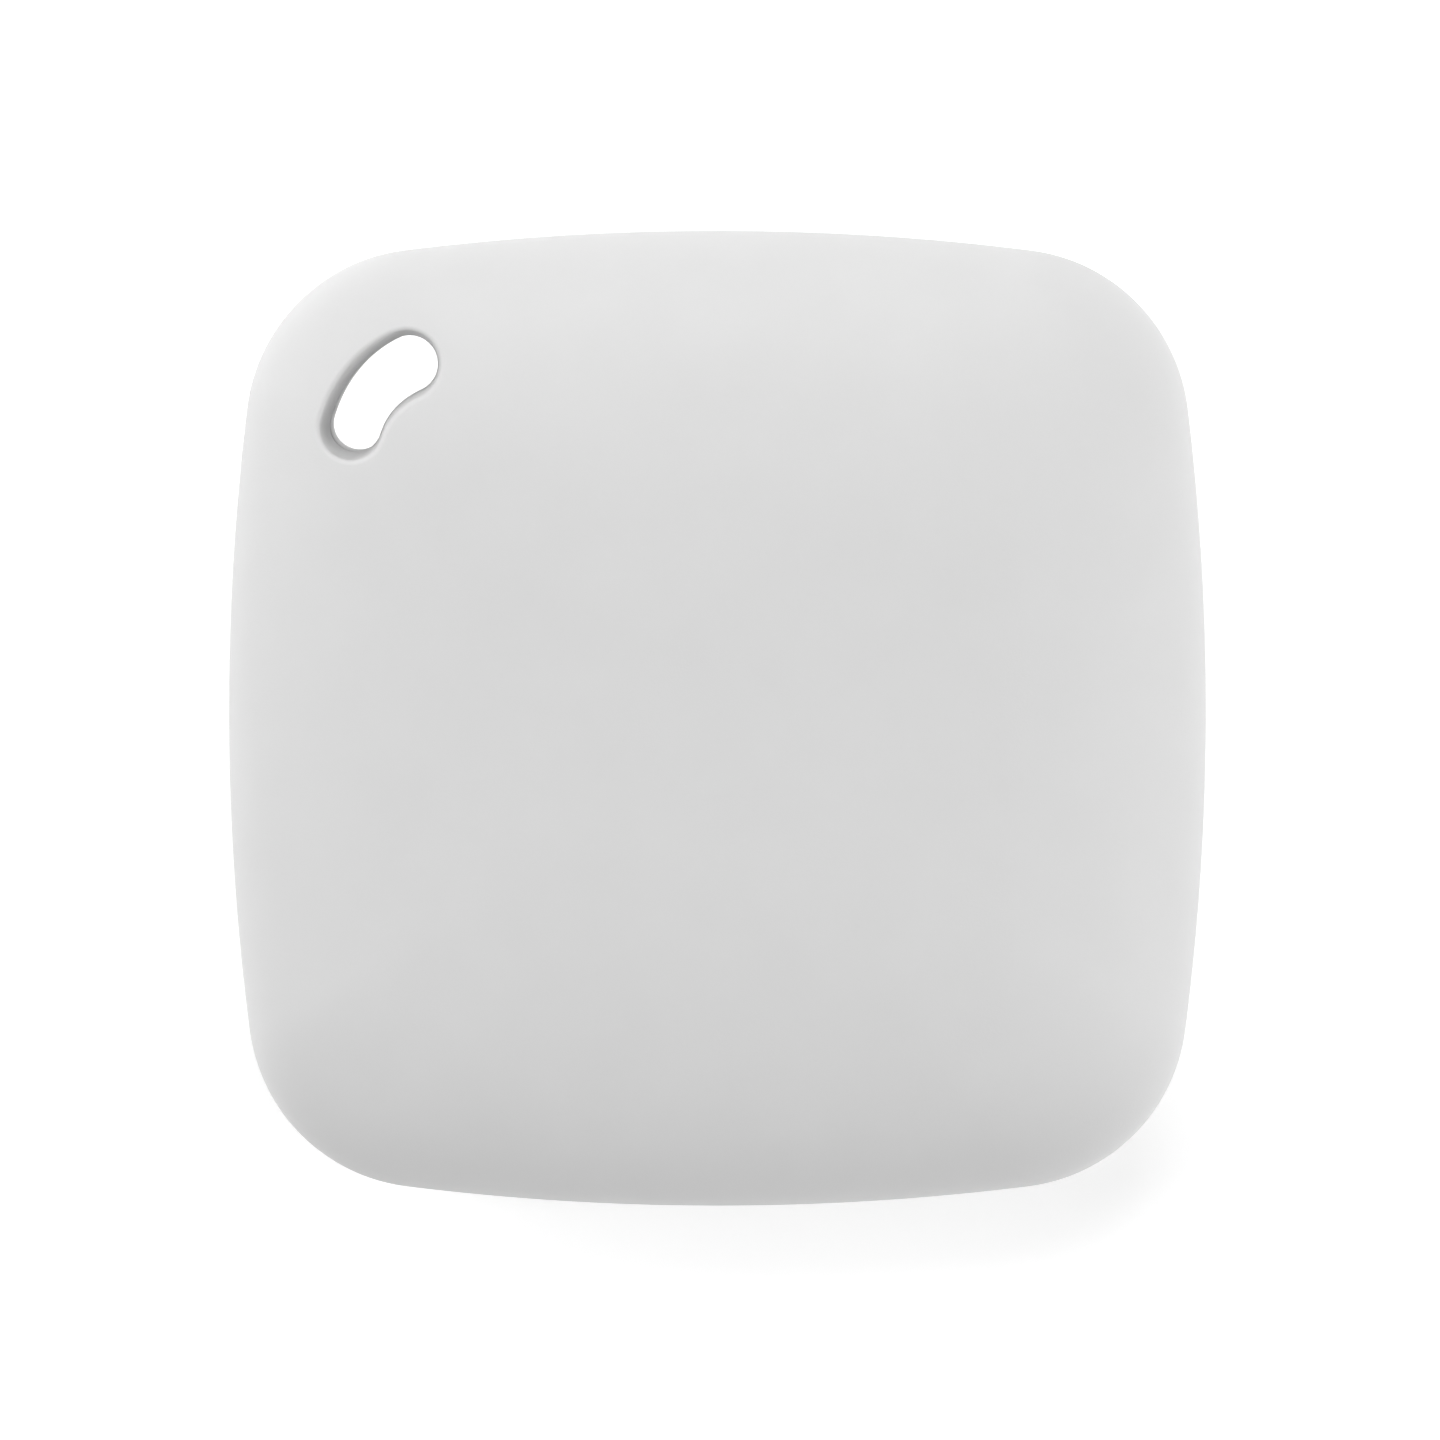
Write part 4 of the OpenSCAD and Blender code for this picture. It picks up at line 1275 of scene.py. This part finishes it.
def add_floor():
    """A white acrylic sheet, lit from beneath, a little near the tag and more far from it.

    A small lamp under the key slot makes the slot show as white as the rest of the floor.
    """
    bm = bmesh.new()
    bmesh.ops.create_grid(bm, x_segments=75, y_segments=75, size=FLOOR_W / 2 * MM)
    bmesh.ops.translate(bm, verts=bm.verts, vec=(0, 0, -FLOOR_GAP * MM))
    mesh = bpy.data.meshes.new("floor")
    bm.to_mesh(mesh)
    bm.free()
    floor = bpy.data.objects.new("floor", mesh)
    bpy.context.scene.collection.objects.link(floor)
    material, tree, shader, place = new_material("backlit_white_acrylic")
    shader.inputs["Base Color"].default_value = srgb("#F4F4F4")
    shader.inputs["Roughness"].default_value = 0.7
    shader.inputs["Emission Color"].default_value = srgb("#FFFFFF")
    out = node(tree, "ShaderNodeVectorMath", {"operation": "LENGTH"}, {0: place}).outputs["Value"]
    near, far = GLOW_RISE
    rise = {"From Min": near, "From Max": far, "To Min": FLOOR_GLOW, "To Max": FAR_GLOW}
    glow = node(tree, "ShaderNodeMapRange", rise, {"Value": out}).outputs[0]
    slot_middle = (*on_circle(-SLOT_CENTRE, SLOT_CENTRE, SLOT_R, SLOT_DIRECTION), 0)
    curve_middle = (-SLOT_CENTRE, SLOT_CENTRE, 0)
    from_curve = node(tree, "ShaderNodeVectorMath", {"operation": "DISTANCE", 1: curve_middle}, {0: place})
    away = from_curve.outputs["Value"]
    off_line = node(tree, "ShaderNodeMath", {"operation": "SUBTRACT", 1: SLOT_R}, {0: away})
    aside = node(tree, "ShaderNodeMath", {"operation": "ABSOLUTE"}, {0: off_line.outputs[0]})
    along = node(tree, "ShaderNodeVectorMath", {"operation": "DISTANCE", 1: slot_middle}, {0: place})
    wide = node(
        tree,
        "ShaderNodeMapRange",
        {"From Min": LAMP_HALF_W, "From Max": LAMP_HALF_W + LAMP_BLEND, "To Min": LAMP_GLOW},
        {"Value": aside.outputs[0], "To Max": glow},
    )
    lamp = node(
        tree,
        "ShaderNodeMapRange",
        {"From Min": LAMP_HALF_L, "From Max": LAMP_HALF_L + LAMP_BLEND},
        {"Value": along.outputs["Value"], "To Min": wide.outputs[0], "To Max": glow},
    )
    tree.links.new(lamp.outputs[0], shader.inputs["Emission Strength"])
    # the sheet is clear from beneath, so that the tag's rear can be looked at
    beneath = node(tree, "ShaderNodeNewGeometry").outputs["Backfacing"]
    clear = node(tree, "ShaderNodeBsdfTransparent")
    either = node(tree, "ShaderNodeMixShader", links={0: beneath, 1: shader.outputs[0], 2: clear.outputs[0]})
    tree.links.new(either.outputs[0], tree.nodes["Material Output"].inputs["Surface"])
    mesh.materials.append(material)


SOFTBOX_W = 350.0
SOFTBOX_AWAY = 600.0


def add_softbox(name, direction, rise, power):
    """A square softbox on a stand, aimed down at the tag."""
    data = bpy.data.lights.new(name, "AREA")
    data.shape = "SQUARE"
    data.size = SOFTBOX_W * MM
    data.energy = power
    light = bpy.data.objects.new(name, data)
    bpy.context.scene.collection.objects.link(light)
    out, up = on_circle(0, 0, SOFTBOX_AWAY, math.radians(rise))
    place = Vector((*on_circle(0, 0, out, math.radians(direction)), up))
    light.location = place * MM
    light.rotation_euler = (-place).to_track_quat("-Z", "Y").to_euler()


SKY_GLOW = 0.27
HORIZON_GLOW = 0.95
HORIZON_RISE = 0.25  # the sine of the elevation at which the horizon's glow has faded to the sky's


def add_world():
    """A pale surround whose horizon is as bright as the far end of the floor, so that no line shows."""
    world = bpy.data.worlds.new("studio")
    world.use_nodes = True
    tree = world.node_tree
    background = tree.nodes["Background"]
    background.inputs["Color"].default_value = (1, 1, 1, 1)
    direction = node(tree, "ShaderNodeTexCoord").outputs["Generated"]
    up = node(tree, "ShaderNodeSeparateXYZ", links={0: direction}).outputs[2]
    fade = {"From Max": HORIZON_RISE, "To Min": HORIZON_GLOW, "To Max": SKY_GLOW}
    shown = node(tree, "ShaderNodeMapRange", fade, {"Value": up})
    tree.links.new(shown.outputs[0], background.inputs["Strength"])
    bpy.context.scene.world = world


add_camera()
add_floor()
add_world()
add_softbox("back_softbox", 90, 44, 1.4)
add_softbox("left_softbox", 162, 33, 1.8)
add_softbox("right_softbox", -15, 33, 1.78)
bpy.context.scene.view_settings.view_transform = "Standard"
